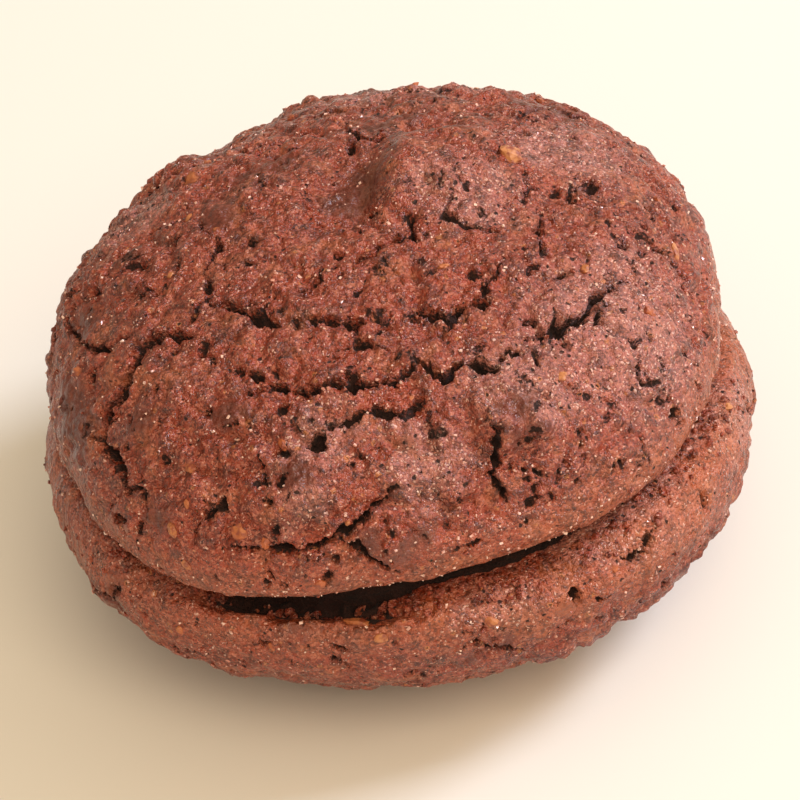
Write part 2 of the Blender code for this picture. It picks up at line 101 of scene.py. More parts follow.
def add(tree: bpy.types.NodeTree, kind: str, values: dict | None = None, links: dict | None = None,
        **settings: object) -> bpy.types.Node:
    """Add one shader node with its settings, its input values and its links.

    Args:
        tree: the node tree that takes the node.
        kind: the node's type name.
        values: input name or number to its value.
        links: input name or number to the socket that feeds it.
        **settings: the node's own properties.

    Returns:
        The new node.
    """
    node = tree.nodes.new(kind)
    for name, value in settings.items():
        setattr(node, name, value)
    for key, value in (values or {}).items():
        node.inputs[key].default_value = value
    for key, socket in (links or {}).items():
        tree.links.new(socket, node.inputs[key])
    return node


def rippled(points: np.ndarray, size: float, seed: float) -> np.ndarray:
    """Smooth noise between about -1 and 1 at each point.

    Args:
        points: an (n, 3) array in millimetres.
        size: the noise's feature size in millimetres.
        seed: moves the noise to another place.

    Returns:
        One value a point.
    """
    scaled = points / size + seed * 17.3
    return np.array([noise.noise(p) for p in scaled.tolist()])


def cellular(points: np.ndarray, size: float, seed: float) -> np.ndarray:
    """Distance to the nearest cell centre, in cells, at each point, for grains and crumbs.

    Args:
        points: an (n, 3) array in millimetres.
        size: the cells' size in millimetres.
        seed: moves the cells to another place.

    Returns:
        One value a point, about 0 at a cell's centre.
    """
    scaled = points / size + seed * 11.7
    return np.array([noise.voronoi(p)[0][0] for p in scaled.tolist()])


def torn(u: np.ndarray, v: np.ndarray, size: float, seed: float) -> tuple[np.ndarray, np.ndarray]:
    """The way from each point to the middle of its crumb, so that splits run round whole crumbs.

    Args:
        u: crust millimetres towards +X.
        v: crust millimetres towards +Y.
        size: the crumbs' size in millimetres.
        seed: moves the crumbs to another place.

    Returns:
        The way along u and the way along v, in millimetres.
    """
    places = np.stack((u, v, np.full_like(u, seed)), axis=-1) / size
    middles = np.array([noise.voronoi(p)[1][0][:2] for p in places.tolist()]) * size
    return middles[:, 0] - u, middles[:, 1] - v


@dataclass(frozen=True)
class Ripple:
    """One wave of the shell's plan outline: its count around, height and direction."""

    waves: int
    height: float
    degrees: float


@dataclass(frozen=True)
class RimOpening:
    """How far part of the base's edge stands off the joint plane, and where round the shell."""

    depth: float
    degrees: float
    spread: float

    def at(self, angle: np.ndarray) -> np.ndarray:
        """The opening's depth at angles round the shell."""
        off = np.abs((np.degrees(angle) - self.degrees + 180.0) % 360.0 - 180.0)
        return self.depth * smooth(1.6 * (1.0 - off / self.spread))


@dataclass(frozen=True)
class Lump:
    """A smooth swelling of the crust."""

    u: float
    v: float
    length: float
    width: float
    height: float
    heading: float = 0.0


@dataclass(frozen=True)
class Crack:
    """A split in the crust: its turning points, its widest opening and its depth."""

    route: Route
    width: float
    depth: float


@dataclass(frozen=True)
class Pit:
    """A hole left by a burst bubble or a torn crumb."""

    u: float
    v: float
    length: float
    width: float
    depth: float
    heading: float = 0.0


@dataclass(frozen=True)
class NutBit:
    """A coarse piece of almond baked into the crust."""

    u: float
    v: float
    length: float
    width: float
    height: float
    heading: float = 0.0


@dataclass(frozen=True)
class Patch:
    """A stretch of the crust where the meringue glazed over, or where it foamed and takes painted sheen."""

    u: float
    v: float
    length: float
    width: float
    heading: float = 0.0


# where the meringue glazed over: smooth, dark and without grains; the patch at the mound's steep left side
# is painted shade as well
UPPER_PATCHES = (
    # the first patch lies at the mound's steep left side and paints the shade there
    Patch(0.0, 1.4, 3.8, 5.2, -25), Patch(-5.6, 6.8, 4.6, 2.2, 10), Patch(-9.3, 1.8, 2.4, 2.4),
    Patch(-7.3, -21.5, 2.6, 1.8), Patch(-3.3, -27.0, 2.0, 1.6), Patch(-1.4, -28.7, 3.4, 1.8, 10),
    Patch(8.2, -19.8, 2.0, 1.8), Patch(9.9, -21.3, 1.5, 1.4), Patch(7.9, -22.0, 1.6, 1.4),
    Patch(-24.5, -7.5, 4.4, 8.5, 12),
    Patch(-10.7, -15.5, 2.4, 2.0), Patch(-17.0, -12.8, 2.6, 2.0), Patch(-20.9, -1.0, 2.2, 3.0),
    Patch(-16.0, 2.7, 4.0, 1.8, 20), Patch(-18.7, -19.2, 3.4, 2.2, -30), Patch(0.7, -27.4, 2.0, 1.6),
    Patch(6.0, 5.4, 6.0, 1.4, -4), Patch(2.0, 9.5, 9.0, 1.6, 5), Patch(-9.0, 14.0, 5.0, 3.0, 20),
    Patch(14.0, 12.0, 5.0, 3.0, -30), Patch(4.0, 21.0, 6.0, 3.0, 10),
)
LOWER_PATCHES = (
    Patch(11.0, 28.7, 2.6, 1.6, 15), Patch(5.7, 28.4, 2.4, 1.2), Patch(2.6, 27.5, 2.0, 1.2),
    Patch(-24.7, 15.7, 2.0, 5.0, 30), Patch(-14.0, 30.0, 6.0, 2.0, -12),
    Patch(-20.0, -16.0, 6.0, 3.0, 40), Patch(10.0, -26.0, 6.0, 3.0, 10), Patch(27.0, -8.0, 3.0, 6.0),
)

# where the crust foamed: full of burst bubbles and unmelted sugar, and paler mauve as painted sheen, laid
# chiefly on the right side and on lumps that face the light
UPPER_FOAM_AND_SHEEN = (
    Patch(17.0, -13.0, 15.0, 12.0, 35), Patch(7.5, -2.0, 8.0, 5.5, -10), Patch(9.0, -18.5, 8.0, 6.0),
    Patch(-7.0, -23.0, 4.5, 3.5), Patch(1.5, -23.0, 6.0, 5.0), Patch(15.0, 4.0, 8.0, 7.0),
    Patch(-5.0, -19.5, 6.0, 3.0), Patch(-16.0, 8.0, 7.0, 5.0), Patch(5.0, 18.0, 10.0, 6.0),
)
LOWER_FOAM_AND_SHEEN = (
    Patch(20.5, 28.0, 16.0, 6.0, -42), Patch(30.0, 13.0, 5.0, 14.0, 0), Patch(6.0, 31.5, 8.0, 3.0, -8),
    Patch(-22.0, -20.0, 12.0, 7.0, 40), Patch(12.0, -20.0, 9.0, 6.0),
)

UPPER_LUMPS = (
    Lump(6.6, 1.4, 9.0, 8.6, 1.6),
    Lump(3.4, 2.2, 3.6, 6.4, 0.7, -10),
    Lump(-0.4, 1.0, 5.4, 8.6, -1.0, -15),
    Lump(8.2, -20.2, 5.4, 4.8, 0.9),
    Lump(9.9, -21.3, 1.4, 1.3, 0.6),
    Lump(-7.2, -22.6, 5.5, 4.5, 0.6),
    Lump(-11.0, 8.0, 6.0, 5.0, 0.3, 30),
    Lump(-5.0, 16.5, 16.0, 10.0, -0.8, -15),
    Lump(-12.8, 13.6, 4.5, 4.5, 0.6),
    Lump(6.0, 19.0, 12.0, 8.0, -0.25),
    Lump(-0.5, -28.0, 6.0, 4.0, 0.45),
    Lump(17.5, -13.5, 6.0, 6.5, 0.5),
    Lump(-15.5, -12.5, 7.0, 6.0, 0.45),
)
LOWER_LUMPS = (
    Lump(-7.0, 31.0, 5.0, 3.0, 0.5),
    Lump(16.5, 28.0, 6.0, 4.0, 0.5),
    Lump(10.0, 24.0, 4.0, 3.5, 0.35),
)

UPPER_CRACKS = (
    # the long split across the front, from left to right
    Crack(((-9.7, -12.5), (-7.8, -14.2), (-6.0, -15.9), (-2.6, -16.8), (0.6, -17.4), (2.5, -16.4)),
          0.75, 1.7),
    Crack(((2.1, -15.4), (2.6, -16.5), (4.1, -17.7), (5.2, -16.4), (7.4, -17.1), (8.3, -15.8),
           (10.1, -16.2)), 0.75, 1.7),
    Crack(((9.6, -15.0), (12.0, -14.0), (13.4, -13.2), (15.0, -11.6), (16.4, -10.1), (18.0, -9.1)),
          0.8, 1.8),
    Crack(((10.0, -16.1), (10.6, -17.2)), 0.4, 0.9),
    Crack(((14.0, -14.3), (14.8, -13.3), (15.5, -12.0)), 0.5, 1.1),
    # the second split behind it
    Crack(((-11.0, -6.0), (-9.5, -7.1), (-7.5, -9.3), (-6.2, -10.9)), 0.75, 1.6),
    Crack(((-5.4, -10.2), (-3.2, -11.2), (-1.3, -11.8), (-1.4, -13.1)), 0.7, 1.5),
    Crack(((-2.0, -13.4), (-0.8, -14.1), (0.9, -15.2)), 0.5, 1.0),
    Crack(((1.7, -12.6), (2.9, -11.9), (5.0, -13.0), (5.9, -12.2), (7.2, -11.9)), 0.75, 1.6),
    Crack(((7.2, -11.7), (7.6, -10.5), (9.2, -8.5)), 0.45, 1.0),
    # splits below the mound
    Crack(((-0.9, -8.1), (-0.7, -6.5), (0.7, -6.5), (1.1, -5.7), (3.3, -5.2), (3.6, -3.3), (4.9, -4.7)),
          0.6, 1.2),
    Crack(((-4.6, -8.0), (-3.0, -7.6), (-2.7, -6.5)), 0.55, 1.0),
    Crack(((6.4, -2.2), (5.7, -3.8), (6.9, -4.6), (8.8, -5.7)), 0.45, 0.9),
    # splits on the right
    Crack(((12.5, -3.4), (12.0, -5.9), (11.8, -8.1)), 0.6, 1.2),
    Crack(((11.8, 0.6), (11.9, -1.2), (11.3, -3.3)), 0.4, 0.8),
    Crack(((10.5, -9.8), (10.7, -8.9), (11.6, -8.7)), 0.5, 0.9),
    Crack(((11.0, -10.1), (12.3, -9.6), (14.0, -8.8)), 0.4, 0.8),
    Crack(((16.8, 1.5), (16.4, -0.6), (15.0, -0.9), (14.8, -2.5), (13.5, -2.7)), 0.5, 1.0),
    Crack(((20.7, 0.3), (21.1, -1.8), (21.4, -2.8)), 0.5, 1.0),
    Crack(((19.8, -4.6), (22.0, -5.1), (23.3, -6.0), (24.6, -7.6)), 0.6, 1.3),
    Crack(((17.5, -15.3), (17.8, -17.2), (19.4, -16.9)), 0.4, 0.8),
    # the wide torn split on the left
    Crack(((-21.7, -2.4), (-20.3, -4.4), (-19.0, -5.5), (-16.3, -5.8)), 0.6, 1.2),
    Crack(((-17.0, -7.3), (-15.2, -7.4), (-13.8, -7.9), (-12.0, -9.2)), 0.9, 1.6),
    Crack(((-16.2, -8.0), (-17.5, -9.1), (-18.3, -10.1), (-19.4, -10.6)), 1.7, 2.0),
    Crack(((-17.4, -10.4), (-19.4, -10.6), (-20.7, -11.1), (-21.2, -12.0)), 1.8, 2.2),
    Crack(((-21.2, -11.4), (-21.2, -12.5), (-20.0, -14.3), (-20.1, -15.8), (-20.0, -16.8)), 1.2, 1.9),
    Crack(((-20.0, -16.3), (-18.8, -17.0), (-19.4, -19.3)), 0.45, 0.9),
    Crack(((-12.8, -8.0), (-11.6, -6.2), (-10.6, -5.9)), 0.5, 1.0),
    Crack(((-11.3, 3.0), (-10.4, 1.0), (-9.5, -0.4), (-10.8, -2.7), (-10.9, -5.8)), 0.65, 1.3),
    Crack(((-23.3, 2.8), (-22.6, 0.2), (-21.8, -2.3)), 0.4, 0.8),
    # splits towards the front rim
    Crack(((-5.6, -19.9), (-4.4, -19.2), (-1.0, -19.0), (0.6, -19.9), (2.2, -19.0)), 0.5, 1.0),
    Crack(((6.3, -20.7), (7.0, -21.5), (6.6, -23.4), (6.3, -24.5), (7.0, -25.4), (7.5, -27.1)),
          0.65, 1.3),
    Crack(((-13.8, -23.7), (-11.4, -24.8), (-9.2, -25.7), (-8.0, -26.3), (-4.8, -26.1), (-2.4, -25.2),
           (-0.5, -24.2)), 0.7, 1.4),
    Crack(((-5.8, -26.6), (-4.7, -27.4), (-3.7, -28.8), (-2.1, -30.2)), 0.55, 1.0),
    Crack(((-12.1, -20.0), (-12.8, -21.0), (-16.1, -21.5)), 0.45, 0.9),
    Crack(((-7.7, -20.9), (-8.7, -21.6)), 0.45, 0.8),
    Crack(((8.4, -24.2), (10.2, -24.3)), 0.35, 0.7),
    Crack(((14.0, -15.8), (14.5, -16.7)), 0.3, 0.7),
    Crack(((-2.8, -21.4), (-2.7, -22.0)), 0.3, 0.7),
    Crack(((-9.8, -21.8), (-9.2, -22.4)), 0.3, 0.7),
    Crack(((3.5, -7.4), (3.7, -8.2)), 0.3, 0.7),
    Crack(((-5.4, -4.5), (-4.6, -4.6)), 0.3, 0.6),
    Crack(((-11.8, -26.6), (-11.7, -27.6)), 0.35, 0.8),
    # splits behind the mound
    Crack(((0.5, 9.4), (1.2, 7.0), (3.5, 6.4), (6.0, 7.6)), 0.6, 1.2),
    Crack(((-15.0, 12.0), (-12.0, 10.5), (-8.5, 12.2)), 0.5, 1.0),
    Crack(((-3.0, 15.5), (1.0, 14.0), (4.0, 16.0), (8.0, 15.0)), 0.5, 1.1),
    Crack(((12.0, 9.0), (14.5, 11.5), (18.5, 11.0)), 0.5, 1.0),
    Crack(((-4.0, 22.5), (-1.0, 21.0), (3.5, 22.0)), 0.5, 1.0),
)
LOWER_CRACKS = (
    Crack(((2.3, 29.2), (4.0, 28.0), (6.8, 26.8)), 0.5, 0.9),
    Crack(((-15.2, 25.6), (-13.6, 27.2)), 0.5, 0.9),
    Crack(((-8.6, 29.1), (-7.0, 28.8)), 0.45, 0.8),
    Crack(((16.6, 27.4), (18.0, 26.0), (20.5, 25.2)), 0.5, 0.9),
    Crack(((13.2, 27.6), (14.3, 26.0)), 0.45, 0.8),
    Crack(((-27.0, 12.0), (-25.0, 15.5), (-25.6, 18.0)), 0.6, 1.1),
    Crack(((30.5, 3.0), (29.4, 7.0), (30.0, 10.5)), 0.5, 1.0),
    Crack(((-29.0, -4.0), (-27.5, -7.0), (-28.5, -10.0)), 0.5, 1.0),
    Crack(((-14.0, -24.0), (-10.0, -26.0), (-6.5, -25.0), (-3.0, -27.5)), 0.6, 1.2),
    Crack(((8.0, -27.0), (11.5, -24.5), (15.5, -24.0)), 0.6, 1.2),
    Crack(((22.0, -16.0), (24.5, -13.0), (25.0, -9.0)), 0.5, 1.0),
)

UPPER_PITS = (
    Pit(-7.4, -9.4, 1.2, 1.0, 1.2), Pit(-1.3, -12.0, 1.3, 1.0, 1.4), Pit(7.0, -11.9, 1.6, 1.0, 1.3),
    Pit(-5.4, -19.9, 1.4, 1.1, 1.4, 90), Pit(-1.6, -5.6, 0.8, 0.6, 0.8), Pit(3.2, -5.3, 0.9, 0.9, 0.9),
    Pit(8.7, -5.7, 0.8, 0.6, 0.8), Pit(-2.1, -16.2, 0.8, 0.7, 0.9), Pit(10.0, -13.5, 1.1, 0.6, 0.9),
    Pit(1.9, -19.1, 1.0, 0.6, 0.9, 30), Pit(-21.2, -6.3, 0.9, 0.8, 0.9),
    Pit(-22.4, -17.3, 1.7, 0.9, 1.3, -35),
    Pit(-21.0, -19.0, 0.7, 0.5, 0.6), Pit(-7.3, -2.0, 0.7, 0.6, 0.6), Pit(-8.0, -7.7, 0.8, 0.7, 0.8),
    Pit(18.2, -6.0, 1.2, 0.8, 1.0, 90), Pit(-4.7, -27.4, 0.9, 0.8, 0.9), Pit(-12.2, -14.6, 0.7, 0.6, 0.7),
    Pit(21.9, -18.3, 1.5, 0.6, 0.9, 30), Pit(18.8, -13.8, 0.6, 0.5, 0.5), Pit(-3.4, -22.0, 0.6, 0.5, 0.5),
    Pit(-7.1, -8.5, 0.6, 0.5, 0.6), Pit(-7.8, -4.1, 0.6, 0.5, 0.6), Pit(-7.1, -16.7, 0.6, 0.4, 0.6),
    Pit(6.9, -9.4, 0.6, 0.5, 0.6), Pit(20.0, -17.8, 0.6, 0.5, 0.6), Pit(-0.8, -9.4, 0.6, 0.4, 0.6),
    Pit(0.4, 6.6, 1.4, 0.8, 1.0, 80), Pit(-20.0, 1.7, 1.2, 0.8, 0.9, 20), Pit(13.8, -8.9, 0.8, 0.6, 0.7),
)
LOWER_PITS = (
    Pit(12.2, 28.6, 1.0, 0.8, 1.0, 90), Pit(14.0, 26.2, 0.7, 0.5, 0.7), Pit(-24.0, 16.0, 0.9, 0.8, 0.9),
    Pit(-2.0, 27.0, 0.7, 0.6, 0.6), Pit(24.0, 20.0, 0.9, 0.7, 0.8), Pit(-20.0, -18.0, 1.1, 0.9, 1.0),
    Pit(5.0, -22.0, 1.0, 0.8, 0.9), Pit(28.0, -6.0, 0.9, 0.8, 0.9),
)

UPPER_NUTS = (
    NutBit(11.0, 1.8, 1.8, 1.5, 0.9, 80), NutBit(-12.4, -23.3, 1.3, 1.1, 0.6),
    NutBit(-17.3, -20.7, 1.4, 0.9, 0.6), NutBit(-14.3, -17.6, 0.9, 0.6, 0.4),
    NutBit(-8.4, -29.0, 0.8, 0.7, 0.4), NutBit(11.9, -17.5, 0.9, 0.8, 0.4),
    NutBit(22.9, -4.6, 1.5, 0.6, 0.5, 35), NutBit(-9.7, 0.8, 1.0, 0.6, 0.5, 80),
    NutBit(18.4, -5.8, 0.6, 0.5, 0.5), NutBit(14.8, -8.7, 0.9, 0.7, 0.4),
    NutBit(-11.2, 8.6, 1.6, 1.1, 0.6, 70), NutBit(5.5, 19.0, 1.2, 0.8, 0.5),
)
LOWER_NUTS = (
    NutBit(-7.0, 31.3, 2.0, 1.0, 0.7), NutBit(-4.6, 30.6, 1.0, 0.8, 0.5), NutBit(5.0, 30.6, 1.0, 0.7, 0.4),
    NutBit(-18.0, -22.0, 1.2, 0.8, 0.5), NutBit(24.0, 12.0, 1.0, 0.8, 0.3),
)


@dataclass(frozen=True)
class CrustForm:
    """The sizes of one shell's bare form, base down and crown up, and the way to its surface."""

    side: Side
    radius: float
    dome_height: float
    rim_height: float
    rim_width: float
    fullness: float
    ripples: tuple[Ripple, ...]
    gapes: tuple[RimOpening, ...]
    tear: RimOpening
    shoulders: tuple[RimOpening, ...]
    lean: tuple[float, float]
    shift: tuple[float, float]
    grain: float
    seed: int
    contact_height: float
    contact_radius: float = 14.0
    trough_radius: float = 20.2
    closed_lift: float = 0.25
    slow_swell: float = 0.3
    slow_length: float = 7.0
    quick_length: float = 2.6

    def profile(self, steps: int = 240) -> tuple[np.ndarray, np.ndarray, np.ndarray]:
        """The dome's outline from its crown to its widest rim and round under it.

        Args:
            steps: how many points the dome takes.

        Returns:
            Length along the crust, radius and height, point by point.
        """
        angles = np.linspace(0.0, math.pi / 2, steps)
        power = 2.0 / self.fullness
        radii = self.radius * np.sin(angles) ** power
        heights = self.rim_height + self.dome_height * np.cos(angles) ** power
        turn = np.linspace(0.0, math.pi / 2, steps // 4)[1:]
        radii = np.append(radii, self.radius - self.rim_width * (1.0 - np.cos(turn)))
        heights = np.append(heights, self.rim_height * (1.0 - np.sin(turn)))
        along = np.concatenate(([0.0], np.cumsum(np.hypot(np.diff(radii), np.diff(heights)))))
        return along, radii, heights

    def reach(self) -> float:
        """Length along the crust from the crown to the widest part of the rim."""
        along, _, heights = self.profile()
        return float(np.interp(self.rim_height, heights[::-1], along[::-1]))

    def placed(self, radius: np.ndarray, height: np.ndarray, angle: np.ndarray) -> np.ndarray:
        """Points of the turned profile, carried out to the rippled outline and leaned.

        Args:
            radius: radius of each point on the plain turned form.
            height: height of each point over the joint plane.
            angle: direction of each point round the shell.

        Returns:
            An (n, 3) array of places in millimetres.
        """
        out = sum(r.height * np.cos(r.waves * (angle - math.radians(r.degrees))) for r in self.ripples)
        wide = radius * (1.0 + radius / self.radius * out / self.radius)
        flat = np.stack((wide * np.cos(angle), wide * np.sin(angle), height), axis=-1)
        tip, roll = (math.radians(a) for a in self.lean)
        turn = np.array(Matrix.Rotation(tip, 3, "X") @ Matrix.Rotation(roll, 3, "Y"))
        return flat @ turn.T + np.array((*self.shift, 0.0))

    def swelling(self, u: np.ndarray, v: np.ndarray, lumps: tuple[Lump, ...]) -> np.ndarray:
        """Height of the lumps and of the uneven crust above the plain dome."""
        total = np.zeros_like(u)
        for lump in lumps:
            turn = math.radians(lump.heading)
            du, dv = u - lump.u, v - lump.v
            across = (du * math.cos(turn) + dv * math.sin(turn)) / (lump.length / 2)
            over = (dv * math.cos(turn) - du * math.sin(turn)) / (lump.width / 2)
            total += lump.height * smooth(1.25 - 0.8 * np.hypot(across, over))
        slow = self.rolling(u, v, self.slow_length, self.seed)
        quick = self.rolling(u, v, self.quick_length, self.seed + 5)
        return total + self.slow_swell * slow + self.grain * quick

    def rolling(self, u: np.ndarray, v: np.ndarray, length: float, seed: int) -> np.ndarray:
        """Smooth noise along the crust, the same as in the part's own source."""
        places = zip(u.tolist(), v.tolist())
        return np.array([noise.noise((a / length, b / length, seed)) for a, b in places])

    def bare(self, u: np.ndarray, v: np.ndarray) -> np.ndarray:
        """Points of the plain dome at crust millimetres (u, v)."""
        along, radii, heights = self.profile()
        distance = np.hypot(u, v)
        radius = np.interp(distance, along, radii)
        height = np.interp(distance, along, heights)
        return self.placed(radius, height, np.arctan2(v, u))

    def gape(self, angle: np.ndarray) -> np.ndarray:
        """How far the base's edge stands off the joint plane at angles round the shell."""
        return np.max([gape.at(angle) for gape in self.gapes], axis=0)

    def under(self, share: np.ndarray, angle: np.ndarray) -> np.ndarray:
        """Points round the rim and under it, with the shoulders that close the seam.

        Args:
            share: 0 at the widest part, 1 where the rounding ends, 2 in the trough, 3 at the contact.
            angle: direction of each point round the shell.

        Returns:
            An (n, 3) array of places in millimetres.
        """
        lift = self.closed_lift + self.gape(angle)
        turn = np.clip(share, 0.0, 1.0) * math.pi / 2
        radius = self.radius - self.rim_width * (1.0 - np.cos(turn))
        height = self.rim_height - (self.rim_height - lift) * np.sin(turn)
        rounded = self.placed(radius, height, angle)
        rounded[:, 2] = np.maximum(rounded[:, 2], 0.2)
        ahead, aside = np.cos(angle), np.sin(angle)
        ring = np.stack((self.trough_radius * ahead, self.trough_radius * aside, 0.6 * lift), axis=-1)
        flat = ring * (self.contact_radius / self.trough_radius)
        flat[:, 2] = self.contact_height
        to_trough = np.clip(share - 1.0, 0.0, 1.0)[:, None]
        to_flat = smooth(share - 2.0)[:, None]
        places = (rounded * (1.0 - to_trough) + ring * to_trough) * (1.0 - to_flat) + flat * to_flat
        shoulder = np.max([s.at(angle) for s in self.shoulders], axis=0)
        places[:, 2] -= shoulder * smooth(share / 0.75) * (1.0 - smooth((share - 1.6) / 0.6))
        return places


UPPER_FORM = CrustForm(
    side=Side.UPPER, radius=24.0, dome_height=13.4, rim_height=2.4, rim_width=2.4, fullness=2.17,
    ripples=(Ripple(2, 0.47, 60), Ripple(3, 0.15, -33), Ripple(4, 0.24, -43), Ripple(5, 0.38, 21)),
    gapes=(RimOpening(0.1, -112, 30),), tear=RimOpening(0.0, -112, 30),
    shoulders=(RimOpening(0.3, 20, 76),),
    lean=(-1.4, -1.9), shift=(0.15, 0.2), grain=0.12, seed=11, contact_height=0.0,
)
LOWER_FORM = CrustForm(
    side=Side.LOWER, radius=24.5, dome_height=13.1, rim_height=2.6, rim_width=2.2, fullness=2.11,
    ripples=(Ripple(2, 0.45, 25), Ripple(3, 0.38, 42), Ripple(4, 0.23, 43), Ripple(5, 0.15, 1)),
    gapes=(RimOpening(0.2, 88, 50),), tear=RimOpening(2.0, 112, 25),
    shoulders=(RimOpening(1.0, 12, 62), RimOpening(0.7, 182, 46), RimOpening(0.7, -90, 80)),
    lean=(0.0, 0.0), shift=(0.0, 0.0), grain=0.10, seed=23, contact_height=-0.35,
)


@dataclass(frozen=True)
class BakedCrust:
    """Baked cocoa and almond meringue: dry, sugary and grainy, split open in the oven."""

    brown: str = "#85341f"
    red: str = "#923a22"
    dark: str = "#481b10"
    tan: str = "#a45a36"
    rim: str = "#b4633a"
    foam_and_sheen: str = "#b0776e"
    glazed_skin_and_shade: str = "#4e2012"
    almond_meal: str = "#b8703f"
    crumb: str = "#c67f66"
    sugar_and_glints: str = "#ecc0b0"
    # dark crumb inside the splits, made near-black as painted shade there, in the pits, the burst bubbles
    # and the seam
    hollow_and_painted_shade: str = "#1a0804"
    ior: float = 1.5
    specular: float = 0.6

    def material(self, name: str) -> bpy.types.Material:
        """Build the crust's material.

        Args:
            name: the material's name.

        Returns:
            The finished material.
        """
        stuff = bpy.data.materials.new(name)
        stuff.use_nodes = True
        tree = stuff.node_tree
        place = add(tree, "ShaderNodeTexCoord").outputs["Object"]
        astray = self.astray(tree, place)
        # grains of sugar and meal lie 0.16 mm apart, coarse almond meal and burst bubbles 0.6 mm
        grains = add(tree, "ShaderNodeTexVoronoi", {"Scale": per_mm(0.16)}, {"Vector": astray})
        coarse = add(tree, "ShaderNodeTexVoronoi", {"Scale": per_mm(0.6)}, {"Vector": astray})
        grain_pick = add(tree, "ShaderNodeSeparateColor", links={"Color": grains.outputs["Color"]})
        coarse_pick = add(tree, "ShaderNodeSeparateColor", links={"Color": coarse.outputs["Color"]})
        skin = add(tree, "ShaderNodeAttribute", attribute_name="glazed_skin_and_shade").outputs["Fac"]
        bare = add(tree, "ShaderNodeMath", {0: 1.0}, {1: skin}, operation="SUBTRACT").outputs["Value"]

        # foamed crust shows more sugar and far more burst bubbles
        foam_and_sheen = add(tree, "ShaderNodeAttribute", attribute_name="foam_and_sheen").outputs["Fac"]
        more_sugar = add(tree, "ShaderNodeMath", {1: 0.1}, {0: foam_and_sheen, 2: grain_pick.outputs["Green"]},
                         operation="MULTIPLY_ADD").outputs["Value"]
        more_bubbles = add(tree, "ShaderNodeMath", {1: 0.3}, {0: foam_and_sheen, 2: coarse_pick.outputs["Green"]},
                           operation="MULTIPLY_ADD").outputs["Value"]
        # pale sugar specks, which also stand for its glints as painted highlights
        sugar_and_glints = self.spots(tree, grains, more_sugar, 0.88, 0.60, bare)
        meal = self.spots(tree, coarse, coarse_pick.outputs["Red"], 0.78, 0.42, bare)
        bubble = self.spots(tree, coarse, more_bubbles, 0.45, 0.27, bare)
        # where painted shade goes: the splits, the pits and the seam under the rim
        inside = self.opening(tree, place)
        sunk = add(tree, "ShaderNodeMath", links={0: bubble, 1: inside}, operation="MAXIMUM")
        sunk = sunk.outputs["Value"]

        rim = add(tree, "ShaderNodeAttribute", attribute_name="rim").outputs["Fac"]
        colour = self.bake(tree, place, foam_and_sheen)
        # dark glazed skin, which at the mound's steep left side also stands as painted shade
        colour = self.over(tree, colour, self.glazed_skin_and_shade, skin, 0.75)
        # the paler rim colour is laid more on the +X side as painted light, and less on the -X side as
        # painted shade
        colour = self.over(tree, colour, self.rim, rim, 0.75)
        colour = self.over(tree, colour, self.almond_meal, meal, 0.75)
        colour = self.grained(tree, colour, grain_pick.outputs["Red"], bare)
        # painted highlight: the sugar specks are paler than sugar, to stand for its glints; the foam patches
        # hold more of them
        colour = self.over(tree, colour, self.sugar_and_glints, sugar_and_glints, 0.58)
        # painted shade: the near-black colour darkens the splits, pits, burst bubbles and the seam under the
        # rim, over their darker crumb
        colour = self.over(tree, colour, self.hollow_and_painted_shade, sunk, 0.94)
        rough = add(tree, "ShaderNodeMath", links={0: sunk, 1: self.gloss(tree, place)},
                    operation="ADD", use_clamp=True)
        shader = tree.nodes["Principled BSDF"]
        tree.links.new(colour, shader.inputs["Base Color"])
        tree.links.new(rough.outputs["Value"], shader.inputs["Roughness"])
        tree.links.new(self.bumps(tree, place, grains, bare, sunk), shader.inputs["Normal"])
        shader.inputs["IOR"].default_value = self.ior
        shader.inputs["Specular IOR Level"].default_value = self.specular
        return stuff

    def astray(self, tree: bpy.types.NodeTree, place: bpy.types.NodeSocket) -> bpy.types.NodeSocket:
        """Places moved by up to 0.16 mm each way, so that grains aren't tidy cells."""
        wobble = add(tree, "ShaderNodeTexNoise", {"Scale": per_mm(0.3), "Detail": 1.0}, {"Vector": place})
        offset = add(tree, "ShaderNodeVectorMath", {1: (0.5, 0.5, 0.5)}, {0: wobble.outputs["Color"]},
                     operation="SUBTRACT")
        most = 0.32 * MM
        moved = add(tree, "ShaderNodeVectorMath", {1: (most, most, most)},
                    {0: offset.outputs["Vector"], 2: place}, operation="MULTIPLY_ADD")
        return moved.outputs["Vector"]

    def grained(self, tree: bpy.types.NodeTree, colour: bpy.types.NodeSocket,
                pick: bpy.types.NodeSocket, bare: bpy.types.NodeSocket) -> bpy.types.NodeSocket:
        """Darker and paler grains on the grainy skin, none on the smooth skin.

        Args:
            tree: the material's node tree.
            colour: the crust's colour so far.
            pick: a random share for each grain.
            bare: the share of grainy skin.

        Returns:
            The colour with its grains.
        """
        shade = add(tree, "ShaderNodeMapRange", {"From Max": 0.5, "To Min": 0.44, "To Max": 1.12},
                    {"Value": pick}).outputs["Result"]
        shaded = add(tree, "ShaderNodeVectorMath", links={0: colour, "Scale": shade}, operation="SCALE")
        shading = add(tree, "ShaderNodeMix", data_type="RGBA",
                      links={0: bare, 6: colour, 7: shaded.outputs["Vector"]})
        crumb = add(tree, "ShaderNodeMapRange", {"From Min": 0.64}, {"Value": pick})
        crumb = add(tree, "ShaderNodeMath", links={0: crumb.outputs["Result"], 1: bare},
                    operation="MULTIPLY")
        return self.over(tree, shading.outputs[2], self.crumb, crumb.outputs["Value"], 0.54)

    def gloss(self, tree: bpy.types.NodeTree, place: bpy.types.NodeSocket) -> bpy.types.NodeSocket:
        """Roughness that varies in patches of 2.2 mm, as sugar melted here and not there."""
        patch = add(tree, "ShaderNodeTexNoise", {"Scale": per_mm(2.2), "Detail": 2.0}, {"Vector": place})
        return add(tree, "ShaderNodeMapRange",
                   {"From Min": 0.38, "From Max": 0.62, "To Min": 0.24, "To Max": 0.46},
                   {"Value": patch.outputs["Fac"]}).outputs["Result"]

